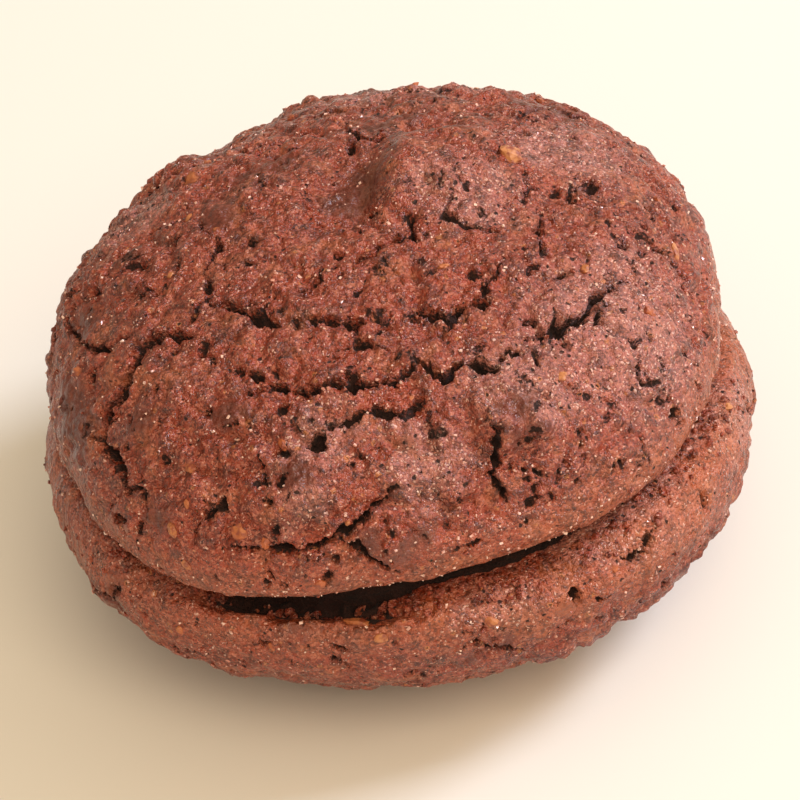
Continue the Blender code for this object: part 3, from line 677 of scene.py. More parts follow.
    def bumps(self, tree: bpy.types.NodeTree, place: bpy.types.NodeSocket, grains: bpy.types.Node,
              bare: bpy.types.NodeSocket, sunk: bpy.types.NodeSocket) -> bpy.types.NodeSocket:
        """Grains of 0.13 and 0.16 mm, and soft knobs of 0.7 mm that catch the light as small glints.

        Args:
            tree: the material's node tree.
            place: the surface's places.
            grains: the Voronoi node of the grains.
            bare: the share of grainy skin, because smooth skin has weaker grains.
            sunk: 1 inside a split, a pit or a burst bubble.

        Returns:
            The bumped normal.
        """
        fine = add(tree, "ShaderNodeTexNoise", {"Scale": per_mm(0.13), "Detail": 2.0, "Roughness": 0.6},
                   {"Vector": place})
        high = add(tree, "ShaderNodeMath", {1: -0.7},
                   {0: grains.outputs["Distance"], 2: fine.outputs["Fac"]}, operation="MULTIPLY_ADD")
        kept = add(tree, "ShaderNodeMapRange", {"To Min": 0.4, "To Max": 1.0}, {"Value": bare})
        scaled = add(tree, "ShaderNodeMath", links={0: high.outputs["Value"], 1: kept.outputs["Result"]},
                     operation="MULTIPLY")
        knobs = add(tree, "ShaderNodeTexNoise", {"Scale": per_mm(0.7), "Detail": 1.0}, {"Vector": place})
        knobby = add(tree, "ShaderNodeMath", {1: 4.2}, {0: knobs.outputs["Fac"], 2: scaled.outputs["Value"]},
                     operation="MULTIPLY_ADD")
        height = add(tree, "ShaderNodeMath", {1: -1.4}, {0: sunk, 2: knobby.outputs["Value"]},
                     operation="MULTIPLY_ADD")
        bump = add(tree, "ShaderNodeBump", {"Strength": 1.0, "Distance": 0.13 * MM},
                   {"Height": height.outputs["Value"]})
        return bump.outputs["Normal"]

    def over(self, tree: bpy.types.NodeTree, under: bpy.types.NodeSocket, colour: str,
             mask: bpy.types.NodeSocket, most: float) -> bpy.types.NodeSocket:
        """Lay a colour over another where a mask says so, `most` of the way at its strongest."""
        share = add(tree, "ShaderNodeMath", {1: most}, {0: mask}, operation="MULTIPLY", use_clamp=True)
        mix = add(tree, "ShaderNodeMix", data_type="RGBA")
        tree.links.new(share.outputs["Value"], mix.inputs[0])
        tree.links.new(under, mix.inputs[6])
        mix.inputs[7].default_value = linear(colour)
        return mix.outputs[2]

    def bake(self, tree: bpy.types.NodeTree, place: bpy.types.NodeSocket,
             foam_and_sheen: bpy.types.NodeSocket) -> bpy.types.NodeSocket:
        """Uneven browning in patches of 6, 2.2, 1.4 and 0.5 mm, and mauve painted sheen where the crust
        foamed.
        """
        masks = []
        for size, low, high in ((6.0, 0.40, 0.62), (2.2, 0.53, 0.66), (1.4, 0.50, 0.68), (0.5, 0.52, 0.68)):
            patch = add(tree, "ShaderNodeTexNoise", {"Scale": per_mm(size), "Detail": 3.0},
                        {"Vector": place})
            masks.append(add(tree, "ShaderNodeMapRange", {"From Min": low, "From Max": high},
                             {"Value": patch.outputs["Fac"]}).outputs["Result"])
        start = add(tree, "ShaderNodeRGB")
        start.outputs[0].default_value = linear(self.brown)
        colour = self.over(tree, start.outputs[0], self.red, masks[0], 1.0)
        colour = self.over(tree, colour, self.tan, masks[1], 0.65)
        # painted sheen: the pale mauve on the foam patches stands for the light that catches them
        colour = self.over(tree, colour, self.foam_and_sheen, foam_and_sheen, 0.55)
        colour = self.over(tree, colour, self.dark, masks[2], 0.72)
        return self.over(tree, colour, self.dark, masks[3], 0.5)

    def opening(self, tree: bpy.types.NodeTree, place: bpy.types.NodeSocket) -> bpy.types.NodeSocket:
        """Inside of the splits, the pits and the seam under the rim, with a crumbly edge of 0.2 mm, for the
        painted shade laid there.
        """
        into = add(tree, "ShaderNodeAttribute", attribute_name="opening").outputs["Fac"]
        ragged = add(tree, "ShaderNodeTexNoise", {"Scale": per_mm(0.28), "Detail": 3.0}, {"Vector": place})
        crumbs = add(tree, "ShaderNodeMath", {1: 0.5, 2: -0.25}, {0: ragged.outputs["Fac"]},
                     operation="MULTIPLY_ADD")
        edge = add(tree, "ShaderNodeMath", links={0: into, 1: crumbs.outputs["Value"]}, operation="ADD")
        return add(tree, "ShaderNodeMapRange", {"From Min": -0.05, "From Max": 0.05},
                   {"Value": edge.outputs["Value"]}).outputs["Result"]

    def spots(self, tree: bpy.types.NodeTree, cells: bpy.types.Node, pick: bpy.types.NodeSocket,
              rarity: float, reach: float, bare: bpy.types.NodeSocket) -> bpy.types.NodeSocket:
        """Scattered spots, one in each cell whose random pick is over `rarity`.

        Args:
            tree: the material's node tree.
            cells: the Voronoi node whose cells hold the spots.
            pick: a random share for each cell.
            rarity: the pick below which a cell stays empty.
            reach: the widest spot's radius, in cells.
            bare: the share of grainy skin, because smooth skin has none.

        Returns:
            A mask that is 1 inside a spot.
        """
        wide = add(tree, "ShaderNodeMapRange",
                   {"From Min": rarity, "From Max": 1.0, "To Min": 0.0, "To Max": reach},
                   {"Value": pick}).outputs["Result"]
        edge = add(tree, "ShaderNodeMath", links={0: wide, 1: cells.outputs["Distance"]},
                   operation="SUBTRACT")
        spot = add(tree, "ShaderNodeMapRange", {"From Min": 0.0, "From Max": 0.1},
                   {"Value": edge.outputs["Value"]})
        return add(tree, "ShaderNodeMath", links={0: spot.outputs["Result"], 1: bare},
                   operation="MULTIPLY").outputs["Value"]


@dataclass(frozen=True)
class ToastedAlmond:
    """Chopped almond that toasted in the oven: waxy, golden to orange, with a cocoa film."""

    pale: str = "#b87848"
    toasted: str = "#a95a32"
    film: str = "#843f28"
    roughness: float = 0.45

    def material(self, name: str) -> bpy.types.Material:
        """Build the almond's material.

        Args:
            name: the material's name.

        Returns:
            The finished material.
        """
        stuff = bpy.data.materials.new(name)
        stuff.use_nodes = True
        tree = stuff.node_tree
        place = add(tree, "ShaderNodeTexCoord").outputs["Object"]
        # each bit toasts differently, and cocoa meringue clings to it in patches of 0.5 mm
        toast = add(tree, "ShaderNodeTexNoise", {"Scale": per_mm(5.0), "Detail": 1.0}, {"Vector": place})
        cling = add(tree, "ShaderNodeTexNoise", {"Scale": per_mm(0.5), "Detail": 3.0}, {"Vector": place})
        toast_share = add(tree, "ShaderNodeMapRange", {"From Min": 0.4, "From Max": 0.6},
                          {"Value": toast.outputs["Fac"]})
        cling_share = add(tree, "ShaderNodeMapRange", {"From Min": 0.45, "From Max": 0.62},
                          {"Value": cling.outputs["Fac"]})
        nut = add(tree, "ShaderNodeMix", {6: linear(self.pale), 7: linear(self.toasted)},
                  {0: toast_share.outputs["Result"]}, data_type="RGBA")
        colour = add(tree, "ShaderNodeMix", {7: linear(self.film)},
                     {0: cling_share.outputs["Result"], 6: nut.outputs[2]}, data_type="RGBA")
        skin = add(tree, "ShaderNodeTexNoise", {"Scale": per_mm(0.22), "Detail": 3.0}, {"Vector": place})
        bump = add(tree, "ShaderNodeBump", {"Strength": 0.8, "Distance": 0.1 * MM},
                   {"Height": skin.outputs["Fac"]})
        shader = tree.nodes["Principled BSDF"]
        tree.links.new(colour.outputs[2], shader.inputs["Base Color"])
        tree.links.new(bump.outputs["Normal"], shader.inputs["Normal"])
        shader.inputs["Roughness"].default_value = self.roughness
        return stuff


@dataclass(frozen=True)
class SugarCrystal:
    """Sugar that didn't melt: small clear crystals, tinted by the cocoa under them."""

    clear: str = "#e3c0b0"
    tinted: str = "#b67562"
    roughness: float = 0.18
    ior: float = 1.54

    def material(self, name: str) -> bpy.types.Material:
        """Build the sugar's material.

        Args:
            name: the material's name.

        Returns:
            The finished material.
        """
        stuff = bpy.data.materials.new(name)
        stuff.use_nodes = True
        tree = stuff.node_tree
        place = add(tree, "ShaderNodeTexCoord").outputs["Object"]
        film = add(tree, "ShaderNodeTexNoise", {"Scale": per_mm(0.6), "Detail": 1.0}, {"Vector": place})
        share = add(tree, "ShaderNodeMapRange", {"From Min": 0.4, "From Max": 0.6},
                    {"Value": film.outputs["Fac"]})
        colour = add(tree, "ShaderNodeMix", {6: linear(self.clear), 7: linear(self.tinted)},
                     {0: share.outputs["Result"]}, data_type="RGBA")
        shader = tree.nodes["Principled BSDF"]
        tree.links.new(colour.outputs[2], shader.inputs["Base Color"])
        shader.inputs["Roughness"].default_value = self.roughness
        shader.inputs["IOR"].default_value = self.ior
        return stuff


@dataclass(frozen=True)
class Grit:
    """What breaks up the crust: how wide each kind is and how high it stands, in millimetres."""

    plate: float = 3.0
    plate_height: float = 0.62
    knob: float = 1.25
    knob_height: float = 0.32
    middle_height: float = 0.72
    crumb: float = 0.75
    crumb_height: float = 0.17
    grain: float = 0.5
    grain_height: float = 0.11
    rough_patch: float = 4.5
    torn_crumb: float = 0.75
    torn_grain: float = 0.36
    lip_height: float = 0.16


@dataclass
class CrustRelief:
    """What the oven did to a shell, point by point, in millimetres or shares, and where shade, sheen and
    light are painted on it.
    """

    move: np.ndarray
    opening: np.ndarray
    rim: np.ndarray
    glazed_skin_and_shade: np.ndarray
    foam_and_sheen: np.ndarray


@dataclass
class ShellCrust:
    """One shell of the macaron: its bare form, what the oven did to it, and its finish."""

    form: CrustForm
    lumps: tuple[Lump, ...]
    cracks: tuple[Crack, ...]
    pits: tuple[Pit, ...]
    patches: tuple[Patch, ...]
    foam_and_sheen_patches: tuple[Patch, ...]
    node: str
    slot: str
    finish: BakedCrust
    joint_height: float
    rings: int
    keep_triangles: int
    grit: Grit = Grit()
    small_pits: int = 260
    hairline_count: int = 150
    rounding_length: float = 3.6
    trough_length: float = 3.4
    contact_length: float = 6.0
    surface_uv: np.ndarray = field(init=False)
    surface_share: np.ndarray = field(init=False)
    surface_opening: np.ndarray = field(init=False)
    surface_points: np.ndarray = field(init=False)
    surface_normals: np.ndarray = field(init=False)

    def build(self) -> bpy.types.Object:
        """Model the crust, dress it and hand it over as the stand-in for its node.

        Returns:
            The finished piece.
        """
        piece = self.blank()
        u, v, share, bare = self.spread(piece)
        self.write(piece, bare)
        relief = self.relief(u, v, share, bare)
        shaped = bare + self.normals(piece) * relief.move[:, None]
        if self.form.side is Side.LOWER:
            shaped[:, 2] = np.minimum(shaped[:, 2], self.joint_height)
        self.write(piece, shaped)
        self.keep_surface(piece, u, v, share, shaped, relief)
        for name in ("opening", "rim", "glazed_skin_and_shade", "foam_and_sheen"):
            self.mark(piece, name, getattr(relief, name))
        self.close_base(piece)
        self.thin_out(piece)
        piece.data.transform(self.place())
        piece.data.materials.append(self.finish.material(self.slot))
        piece.data.shade_smooth()
        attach(piece, "root")
        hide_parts(self.node)
        LOG.info("%s: %d faces", piece.name, len(piece.data.polygons))
        return piece

    def blank(self) -> bpy.types.Object:
        """A fine square grid that is then drawn over the shell, from its crown outwards."""
        bpy.ops.object.select_all(action="DESELECT")
        across = 2 * self.rings
        bpy.ops.mesh.primitive_grid_add(x_subdivisions=across, y_subdivisions=across, size=2.0)
        piece = bpy.context.active_object
        piece.name = self.slot
        return piece

    def spread(self, piece: bpy.types.Object) -> tuple[np.ndarray, np.ndarray, np.ndarray, np.ndarray]:
        """Work out where each point of the blank lies on the shell.

        Args:
            piece: the square blank, 2 units wide.

        Returns:
            The points' u and v, their share of the way under the rim, and their places.
        """
        flat = np.empty(len(piece.data.vertices) * 3)
        piece.data.vertices.foreach_get("co", flat)
        x, y = flat.reshape(-1, 3)[:, 0], flat.reshape(-1, 3)[:, 1]
        outward = np.maximum(np.abs(x), np.abs(y))
        safe = np.where(outward < 1e-9, 1.0, outward)
        quarter = math.pi / 4
        across = quarter * y / safe * np.where(x < 0.0, -1.0, 1.0) + np.where(x < 0.0, math.pi, 0.0)
        upright = (2.0 * quarter - quarter * x / safe) * np.where(y < 0.0, -1.0, 1.0)
        angle = np.where(np.abs(y) > np.abs(x), upright, across)
        reach = self.form.reach()
        round_end = reach + self.rounding_length
        trough_end = round_end + self.trough_length
        along = outward * (trough_end + self.contact_length)
        share = np.clip((along - reach) / self.rounding_length, 0.0, 1.0)
        share += np.clip((along - round_end) / self.trough_length, 0.0, 1.0)
        share += np.clip((along - trough_end) / self.contact_length, 0.0, 1.0)
        u, v = along * np.cos(angle), along * np.sin(angle)
        on_dome = along <= reach
        bare = np.empty((len(u), 3))
        bare[on_dome] = self.form.bare(u[on_dome], v[on_dome])
        bare[~on_dome] = self.form.under(share[~on_dome], angle[~on_dome])
        return u, v, share, bare

    def relief(self, u: np.ndarray, v: np.ndarray, share: np.ndarray, bare: np.ndarray) -> CrustRelief:
        """How far the oven raised or split the crust at each point.

        Args:
            u: crust millimetres towards +X.
            v: crust millimetres towards +Y.
            share: the share of the way under the rim, 0 on the dome.
            bare: the points' places on the bare form.

        Returns:
            The move along the normal and the marks that the material reads.
        """
        seed = self.form.seed
        away = np.hypot(u, v)
        reach = self.form.reach()
        inward = np.minimum(1.0, reach / np.maximum(away, 1e-6))
        fade = np.cos(np.clip(share, 0.0, 1.0) * math.pi / 2)
        swell = self.form.swelling(u * inward, v * inward, self.lumps) * fade
        torn_u, torn_v = self.astray(u, v, bare)
        split, opening, lip = self.splits(torn_u, torn_v)
        pit, pit_opening = self.holes(torn_u, torn_v)
        opening = np.maximum(opening, pit_opening)
        drift_u, drift_v = 1.1 * rippled(bare, 1.3, seed + 14), 1.1 * rippled(bare, 1.3, seed + 15)
        skin = 0.85 * self.patched(self.patches, u + drift_u, v + drift_v)
        foam_and_sheen = self.patched(self.foam_and_sheen_patches, u + 2.0 * drift_u, v + 2.0 * drift_v) * (1.0 - skin)
        patchy = smooth(0.55 + 1.5 * rippled(bare, self.grit.rough_patch, seed + 6)) * (1.0 - skin)

        under = smooth(share - 0.4)
        edge = smooth((np.minimum(away, reach) - reach + 3.5) / 3.5)
        raised = lip * (self.grit.lip_height + 0.3 * rippled(bare, 1.6, seed + 11))
        coarse = self.lumpy(bare, patchy) * (1.0 - 0.65 * edge)
        fine = self.gritty(bare, patchy, lip) * (1.0 - 0.4 * edge)
        move = swell + (coarse + fine) * (1.0 - 0.4 * under)
        move += (raised - np.maximum(split, pit)) * (1.0 - under)
        depth, recess_opening = self.recess(u, v, share, bare)
        opening = np.maximum(opening, recess_opening)
        # painted shade: past this share under the rim the crust is marked as inside a split, so the seam and
        # the underside are darkened
        painted_shade_start = 1.45 + 0.2 * rippled(bare, 0.9, seed + 19)
        opening = np.maximum(opening, FAR_OUTSIDE + 1.3 * smooth((share - painted_shade_start) / 0.3))
        return CrustRelief(move - depth, opening, self.pale_rim_and_painted_light(u, v, share, bare), skin, foam_and_sheen)

    def astray(self, u: np.ndarray, v: np.ndarray, bare: np.ndarray) -> tuple[np.ndarray, np.ndarray]:
        """Crust millimetres pulled towards whole crumbs, so that splits tear round them."""
        seed = self.form.seed
        coarse_u, coarse_v = torn(u, v, self.grit.torn_crumb, seed + 1)
        fine_u, fine_v = torn(u, v, self.grit.torn_grain, seed + 2)
        stray_u = 0.16 * rippled(bare, 1.1, seed + 1) + 0.5 * coarse_u + 0.4 * fine_u
        stray_v = 0.16 * rippled(bare, 1.1, seed + 3) + 0.5 * coarse_v + 0.4 * fine_v
        return u + stray_u, v + stray_v

    def lumpy(self, bare: np.ndarray, patchy: np.ndarray) -> np.ndarray:
        """Height of the plates and knobs, which have pinched valleys between them."""
        grit, seed = self.grit, self.form.seed
        broad = np.sqrt(rippled(bare, grit.plate, seed + 7) ** 2 + 0.008)
        narrow = np.sqrt(rippled(bare, grit.knob, seed + 8) ** 2 + 0.006)
        plates = grit.plate_height * np.tanh(3.2 * broad)
        knobs = grit.knob_height * np.tanh(4.0 * narrow)
        return (plates + knobs - grit.middle_height) * (0.65 + 0.5 * patchy)

    def gritty(self, bare: np.ndarray, patchy: np.ndarray, lip: np.ndarray) -> np.ndarray:
        """Height of the crumbs and grains, which are strongest beside a split."""
        grit, seed = self.grit, self.form.seed
        crumb = grit.crumb_height * rippled(bare, grit.crumb, seed + 9) * (0.35 + patchy + 1.2 * lip)
        cells = cellular(bare, grit.grain, seed + 10)
        return crumb + grit.grain_height * (0.45 - cells) * (0.25 + 0.75 * patchy + 0.9 * lip)

    def recess(self, u: np.ndarray, v: np.ndarray, share: np.ndarray,
               bare: np.ndarray) -> tuple[np.ndarray, np.ndarray]:
        """The torn recess in the seam.

        Args:
            u: crust millimetres towards +X.
            v: crust millimetres towards +Y.
            share: the share of the way under the rim, 0 on the dome.
            bare: the points' places on the bare form.

        Returns:
            Its depth, and how far inside it each point is, in millimetres, which the material darkens as
            painted shade.
        """
        seed = self.form.seed
        start = 0.42 + 0.14 * rippled(bare, 1.7, seed + 13) + 0.08 * rippled(bare, 0.55, seed + 16)
        most = self.form.tear.at(np.arctan2(v, u))
        away = smooth((share - start) / 0.15) * (1.0 - smooth((share - 1.8) / 0.5)) * most
        depth = away * (1.0 + 0.35 * rippled(bare, 0.8, seed + 17))
        # the recess is marked as inside a split, so that it takes painted shade
        edge = np.clip(0.55 * away, 0.0, 1.0) + 0.3 * rippled(bare, 0.7, seed + 18)
        return depth, FAR_OUTSIDE + 1.2 * edge

    def pale_rim_and_painted_light(self, u: np.ndarray, v: np.ndarray, share: np.ndarray, bare: np.ndarray) -> np.ndarray:
        """Share of the paler, orange-tan rim, laid more towards +X as painted light and less towards -X as
        painted shade.
        """
        reach = self.form.reach()
        band = smooth((np.minimum(np.hypot(u, v), reach) + 1.6 * share - reach + 3.4) / 4.2)
        # painted light and shade: stronger on the +X side, where the window lamp stands
        painted_lit_side = 0.64 + 0.36 * np.cos(np.arctan2(v, u))
        uneven = 0.6 + 0.5 * rippled(bare, 2.4, self.form.seed + 12)
        return np.clip(band * painted_lit_side * uneven * (1.0 - smooth(share - 0.6)), 0.0, 1.0)

    def splits(self, u: np.ndarray, v: np.ndarray) -> tuple[np.ndarray, np.ndarray, np.ndarray]:
        """Depth of the cracks, how far inside one each point is, and nearness to a crack's lip.

        Args:
            u: strayed crust millimetres towards +X.
            v: strayed crust millimetres towards +Y.

        Returns:
            Depth in millimetres, distance inside in millimetres, and a share that is 1 at a lip.
        """
        rng = random.Random(self.form.seed)
        depth, lip = np.zeros_like(u), np.zeros_like(u)
        inside = np.full_like(u, FAR_OUTSIDE)
        for crack in self.cracks + self.hairlines():
            route = self.wandering(crack.route, rng)
            spans = [math.dist(a, b) for a, b in zip(route, route[1:])]
            total, gone = sum(spans), 0.0
            widths = [crack.width * rng.uniform(0.35, 1.05) for _ in route]
            raised = [rng.uniform(0.1, 1.0), rng.uniform(0.1, 1.0)]
            margin = crack.width + 2.2
            for index, (start, end) in enumerate(zip(route, route[1:])):
                near = np.flatnonzero(
                    (u > min(start[0], end[0]) - margin) & (u < max(start[0], end[0]) + margin)
                    & (v > min(start[1], end[1]) - margin) & (v < max(start[1], end[1]) + margin)
                )
                run = np.array(end) - np.array(start)
                off = np.stack((u[near] - start[0], v[near] - start[1]), axis=-1)
                part = np.clip(off @ run / (run @ run), 0.0, 1.0)
                far = np.hypot(off[:, 0] - part * run[0], off[:, 1] - part * run[1])
                left = off[:, 1] * run[0] > off[:, 0] * run[1]
                went = (gone + part * spans[index]) / total
                taper = np.clip(3.2 * np.minimum(went, 1.0 - went) + 0.2, 0.0, 1.0)
                half = taper * (widths[index] * (1.0 - part) + widths[index + 1] * part) / 2
                within = half - far
                floor = 0.6 + 0.4 * np.clip(within / np.maximum(half, 1e-6), 0.0, 1.0)
                sunk = crack.depth * taper * smooth(0.6 + within / 0.14) * floor
                depth[near] = np.maximum(depth[near], sunk)
                inside[near] = np.maximum(inside[near], within)
                high = np.where(left, raised[0], raised[1]) * taper * np.exp(np.minimum(within, 0.0) / 0.7)
                lip[near] = np.maximum(lip[near], high)
                gone += spans[index]
        return depth, inside, lip

    def hairlines(self) -> tuple[Crack, ...]:
        """Short fine splits, scattered over the whole crust."""
        rng = random.Random(self.form.seed + 200)
        reach = self.form.reach() - 0.5
        found = []
        for _ in range(self.hairline_count):
            away, turn = reach * math.sqrt(rng.random()), rng.uniform(-math.pi, math.pi)
            place = (away * math.cos(turn), away * math.sin(turn))
            heading = turn + math.pi / 2 + rng.gauss(0.0, 0.9)
            route = [place]
            for _ in range(rng.randint(2, 4)):
                heading += rng.gauss(0.0, 0.7)
                step = rng.uniform(0.4, 1.0)
                place = (place[0] + step * math.cos(heading), place[1] + step * math.sin(heading))
                route.append(place)
            found.append(Crack(tuple(route), rng.uniform(0.08, 0.28), rng.uniform(0.3, 0.6)))
        return tuple(found)

    def wandering(self, route: Route, rng: random.Random) -> list[tuple[float, float]]:
        """Fill in a crack's route between its turning points with short uneven runs."""
        step, stray = 0.7, 0.14
        places = []
        for start, end in zip(route, route[1:]):
            length = math.dist(start, end)
            count = max(1, round(length / step))
            for index in range(count):
                drift = rng.uniform(-stray, stray) if index else 0.0
                at = index / count
                places.append((
                    start[0] + (end[0] - start[0]) * at - (end[1] - start[1]) / length * drift,
                    start[1] + (end[1] - start[1]) * at + (end[0] - start[0]) / length * drift,
                ))
        places.append(route[-1])
        return places

    def holes(self, u: np.ndarray, v: np.ndarray) -> tuple[np.ndarray, np.ndarray]:
        """Depth of the pits, named and small, at each point, and how far inside one it is."""
        rng = random.Random(self.form.seed + 100)
        pits = list(self.pits)
        reach = self.form.reach() + 1.0
        for _ in range(self.small_pits):
            away, turn = reach * math.sqrt(rng.random()), rng.uniform(-math.pi, math.pi)
            size = 0.2 + 0.3 * rng.random() ** 2.5
            length, depth = size * rng.uniform(1.0, 2.0), size * rng.uniform(0.9, 1.6)
            pits.append(Pit(away * math.cos(turn), away * math.sin(turn), length, size, depth,
                            rng.uniform(0, 180)))
        depth = np.zeros_like(u)
        inside = np.full_like(u, FAR_OUTSIDE)
        for pit in pits:
            wide = pit.length / 2 + 0.5
            near = np.flatnonzero((np.abs(u - pit.u) < wide) & (np.abs(v - pit.v) < wide))
            turn = math.radians(pit.heading)
            du, dv = u[near] - pit.u, v[near] - pit.v
            across = (du * math.cos(turn) + dv * math.sin(turn)) / (pit.length / 2)
            over = (dv * math.cos(turn) - du * math.sin(turn)) / (pit.width / 2)
            within = (1.0 - np.hypot(across, over)) * pit.width / 2
            depth[near] = np.maximum(depth[near], pit.depth * smooth(0.5 + within / 0.22))
            inside[near] = np.maximum(inside[near], within)
        return depth, inside

    def patched(self, patches: tuple[Patch, ...], u: np.ndarray, v: np.ndarray) -> np.ndarray:
        """How far each point lies inside one of the patches, as a share with a soft edge."""
        share = np.zeros_like(u)
        for patch in patches:
            turn = math.radians(patch.heading)
            du, dv = u - patch.u, v - patch.v
            across = (du * math.cos(turn) + dv * math.sin(turn)) / (patch.length / 2)
            over = (dv * math.cos(turn) - du * math.sin(turn)) / (patch.width / 2)
            share = np.maximum(share, smooth(1.6 - 1.1 * np.hypot(across, over)))
        return share

    def normals(self, piece: bpy.types.Object) -> np.ndarray:
        """The piece's point normals."""
        flat = np.empty(len(piece.data.vertices) * 3)
        piece.data.vertex_normals.foreach_get("vector", flat)
        return flat.reshape(-1, 3)

    def write(self, piece: bpy.types.Object, places: np.ndarray) -> None:
        """Move the piece's points to new places."""
        piece.data.vertices.foreach_set("co", places.astype(np.float32).ravel())
        piece.data.update()

    def mark(self, piece: bpy.types.Object, name: str, values: np.ndarray) -> None:
        """Store one value a point for the material to read."""
        layer = piece.data.attributes.new(name, "FLOAT", "POINT")
        layer.data.foreach_set("value", values.astype(np.float32))

    def keep_surface(self, piece: bpy.types.Object, u: np.ndarray, v: np.ndarray, share: np.ndarray,
                     shaped: np.ndarray, relief: CrustRelief) -> None:
        """Note the finished surface, so that nuts and sugar can be set on it."""
        turn = np.array(self.place().to_3x3()) / MM
        self.surface_uv = np.stack((u, v), axis=-1)
        self.surface_share = share
        self.surface_opening = relief.opening
        self.surface_points = shaped @ turn.T + np.array(self.place().translation) / MM
        self.surface_normals = self.normals(piece) @ turn.T

    def close_base(self, piece: bpy.types.Object) -> None:
        """Draw the grid's open border in to the middle of the flat base and close it."""
        bpy.context.view_layer.objects.active = piece
        bpy.ops.object.mode_set(mode="EDIT")
        bpy.ops.mesh.select_all(action="DESELECT")
        bpy.ops.mesh.select_mode(type="EDGE")
        bpy.ops.mesh.select_non_manifold()
        bpy.ops.mesh.extrude_region_move()
        bpy.ops.mesh.merge(type="CENTER")
        bpy.ops.mesh.select_all(action="SELECT")
        bpy.ops.mesh.normals_make_consistent(inside=False)
        bpy.ops.object.mode_set(mode="OBJECT")

    def thin_out(self, piece: bpy.types.Object) -> None:
        """Keep triangles where the crust is rough or split, and let go of the rest."""
        triangles = sum(len(face.vertices) - 2 for face in piece.data.polygons)
        thin = piece.modifiers.new("thin", "DECIMATE")
        thin.ratio = min(1.0, self.keep_triangles / triangles)
        bpy.ops.object.modifier_apply(modifier=thin.name)

    def place(self) -> Matrix:
        """The way from the shell's own crown-up millimetres to its place in the macaron."""
        place = Matrix.Scale(MM, 4) @ Matrix.Translation((0.0, 0.0, self.joint_height))
        if self.form.side is Side.LOWER:
            place = place @ Matrix.Rotation(math.pi, 4, "X")
        return place


@dataclass
class Strewing:
    """Many small bits set on the crust as one joined mesh."""

    name: str
    slot: str
    finish: ToastedAlmond | SugarCrystal | BakedCrust
    seed: int
    rng: random.Random = field(init=False)
    corners: np.ndarray = field(init=False)
    sides: np.ndarray = field(init=False)
    points: list[np.ndarray] = field(default_factory=list)
    faces: list[np.ndarray] = field(default_factory=list)
    count: int = 0

    def __post_init__(self) -> None:
        """Start the piece's own row of random numbers."""
        self.rng = random.Random(self.seed)

    def shape(self, rounds: int) -> None:
        """Take the bit's plain shape, a ball of flat faces 2 across.

        Args:
            rounds: 1 for 20 faces, 2 for 80.
        """
        bpy.ops.object.select_all(action="DESELECT")
        bpy.ops.mesh.primitive_ico_sphere_add(subdivisions=rounds, radius=1.0)
        ball = bpy.context.active_object
        flat = np.empty(len(ball.data.vertices) * 3)
        ball.data.vertices.foreach_get("co", flat)
        self.corners = flat.reshape(-1, 3)
        self.sides = np.array([face.vertices[:] for face in ball.data.polygons])
        bpy.data.objects.remove(ball)

    def cube(self) -> None:
        """Take a cube 2 across as the bit's plain shape."""
        bpy.ops.object.select_all(action="DESELECT")
        bpy.ops.mesh.primitive_cube_add(size=2.0)
        cube = bpy.context.active_object
        self.corners = np.array([vertex.co[:] for vertex in cube.data.vertices])
        self.sides = np.array([face.vertices[:] for face in cube.data.polygons])
        bpy.data.objects.remove(cube)

    def drop(self, shell: ShellCrust, at: int, size: tuple[float, float, float], heading: float,
             sunk: float, uneven: float, tumble: float = 0.0) -> None:
        """Set one bit on the crust.

        Args:
            shell: the shell that it lies on.
            at: the number of the surface point under it.
            size: the bit's length, width and height in millimetres.
            heading: its turn about the crust's normal, in degrees.
            sunk: how much of its height is under the crust.
            uneven: how far its points stray, as a share of its size.
            tumble: how far it may lean any way, in degrees.
        """
        place, normal = shell.surface_points[at], shell.surface_normals[at]
        up = Vector(normal).to_track_quat("Z", "Y").to_matrix()
        lean = [math.radians(self.rng.uniform(-tumble, tumble)) for _ in range(2)]
        turn = up @ Matrix.Rotation(math.radians(heading), 3, "Z")
        turn = turn @ Matrix.Rotation(lean[0], 3, "X") @ Matrix.Rotation(lean[1], 3, "Y")
        stray = np.array([[self.rng.uniform(-uneven, uneven) for _ in range(3)] for _ in self.corners])
        body = (self.corners + stray) * np.array(size) / 2
        lift = size[2] * (0.5 - sunk)
        self.points.append(body @ np.array(turn).T + place + normal * lift)
        self.faces.append(self.sides + self.count)
        self.count += len(self.corners)

    def build(self) -> bpy.types.Object:
        """Join the strewn bits into one piece and dress it.

        Returns:
            The finished piece.
        """
        mesh = bpy.data.meshes.new(self.name)
        mesh.from_pydata(np.concatenate(self.points) * MM, [], np.concatenate(self.faces).tolist())
        mesh.validate()
        # the crust's finish reads this as being outside every split
        layer = mesh.attributes.new("opening", "FLOAT", "POINT")
        layer.data.foreach_set("value", np.full(len(mesh.vertices), FAR_OUTSIDE, dtype=np.float32))
        piece = bpy.data.objects.new(self.name, mesh)
        bpy.context.scene.collection.objects.link(piece)
        mesh.materials.append(self.finish.material(self.name))
        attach(piece, "root")
        LOG.info("%s: %d faces", piece.name, len(mesh.polygons))
        return piece


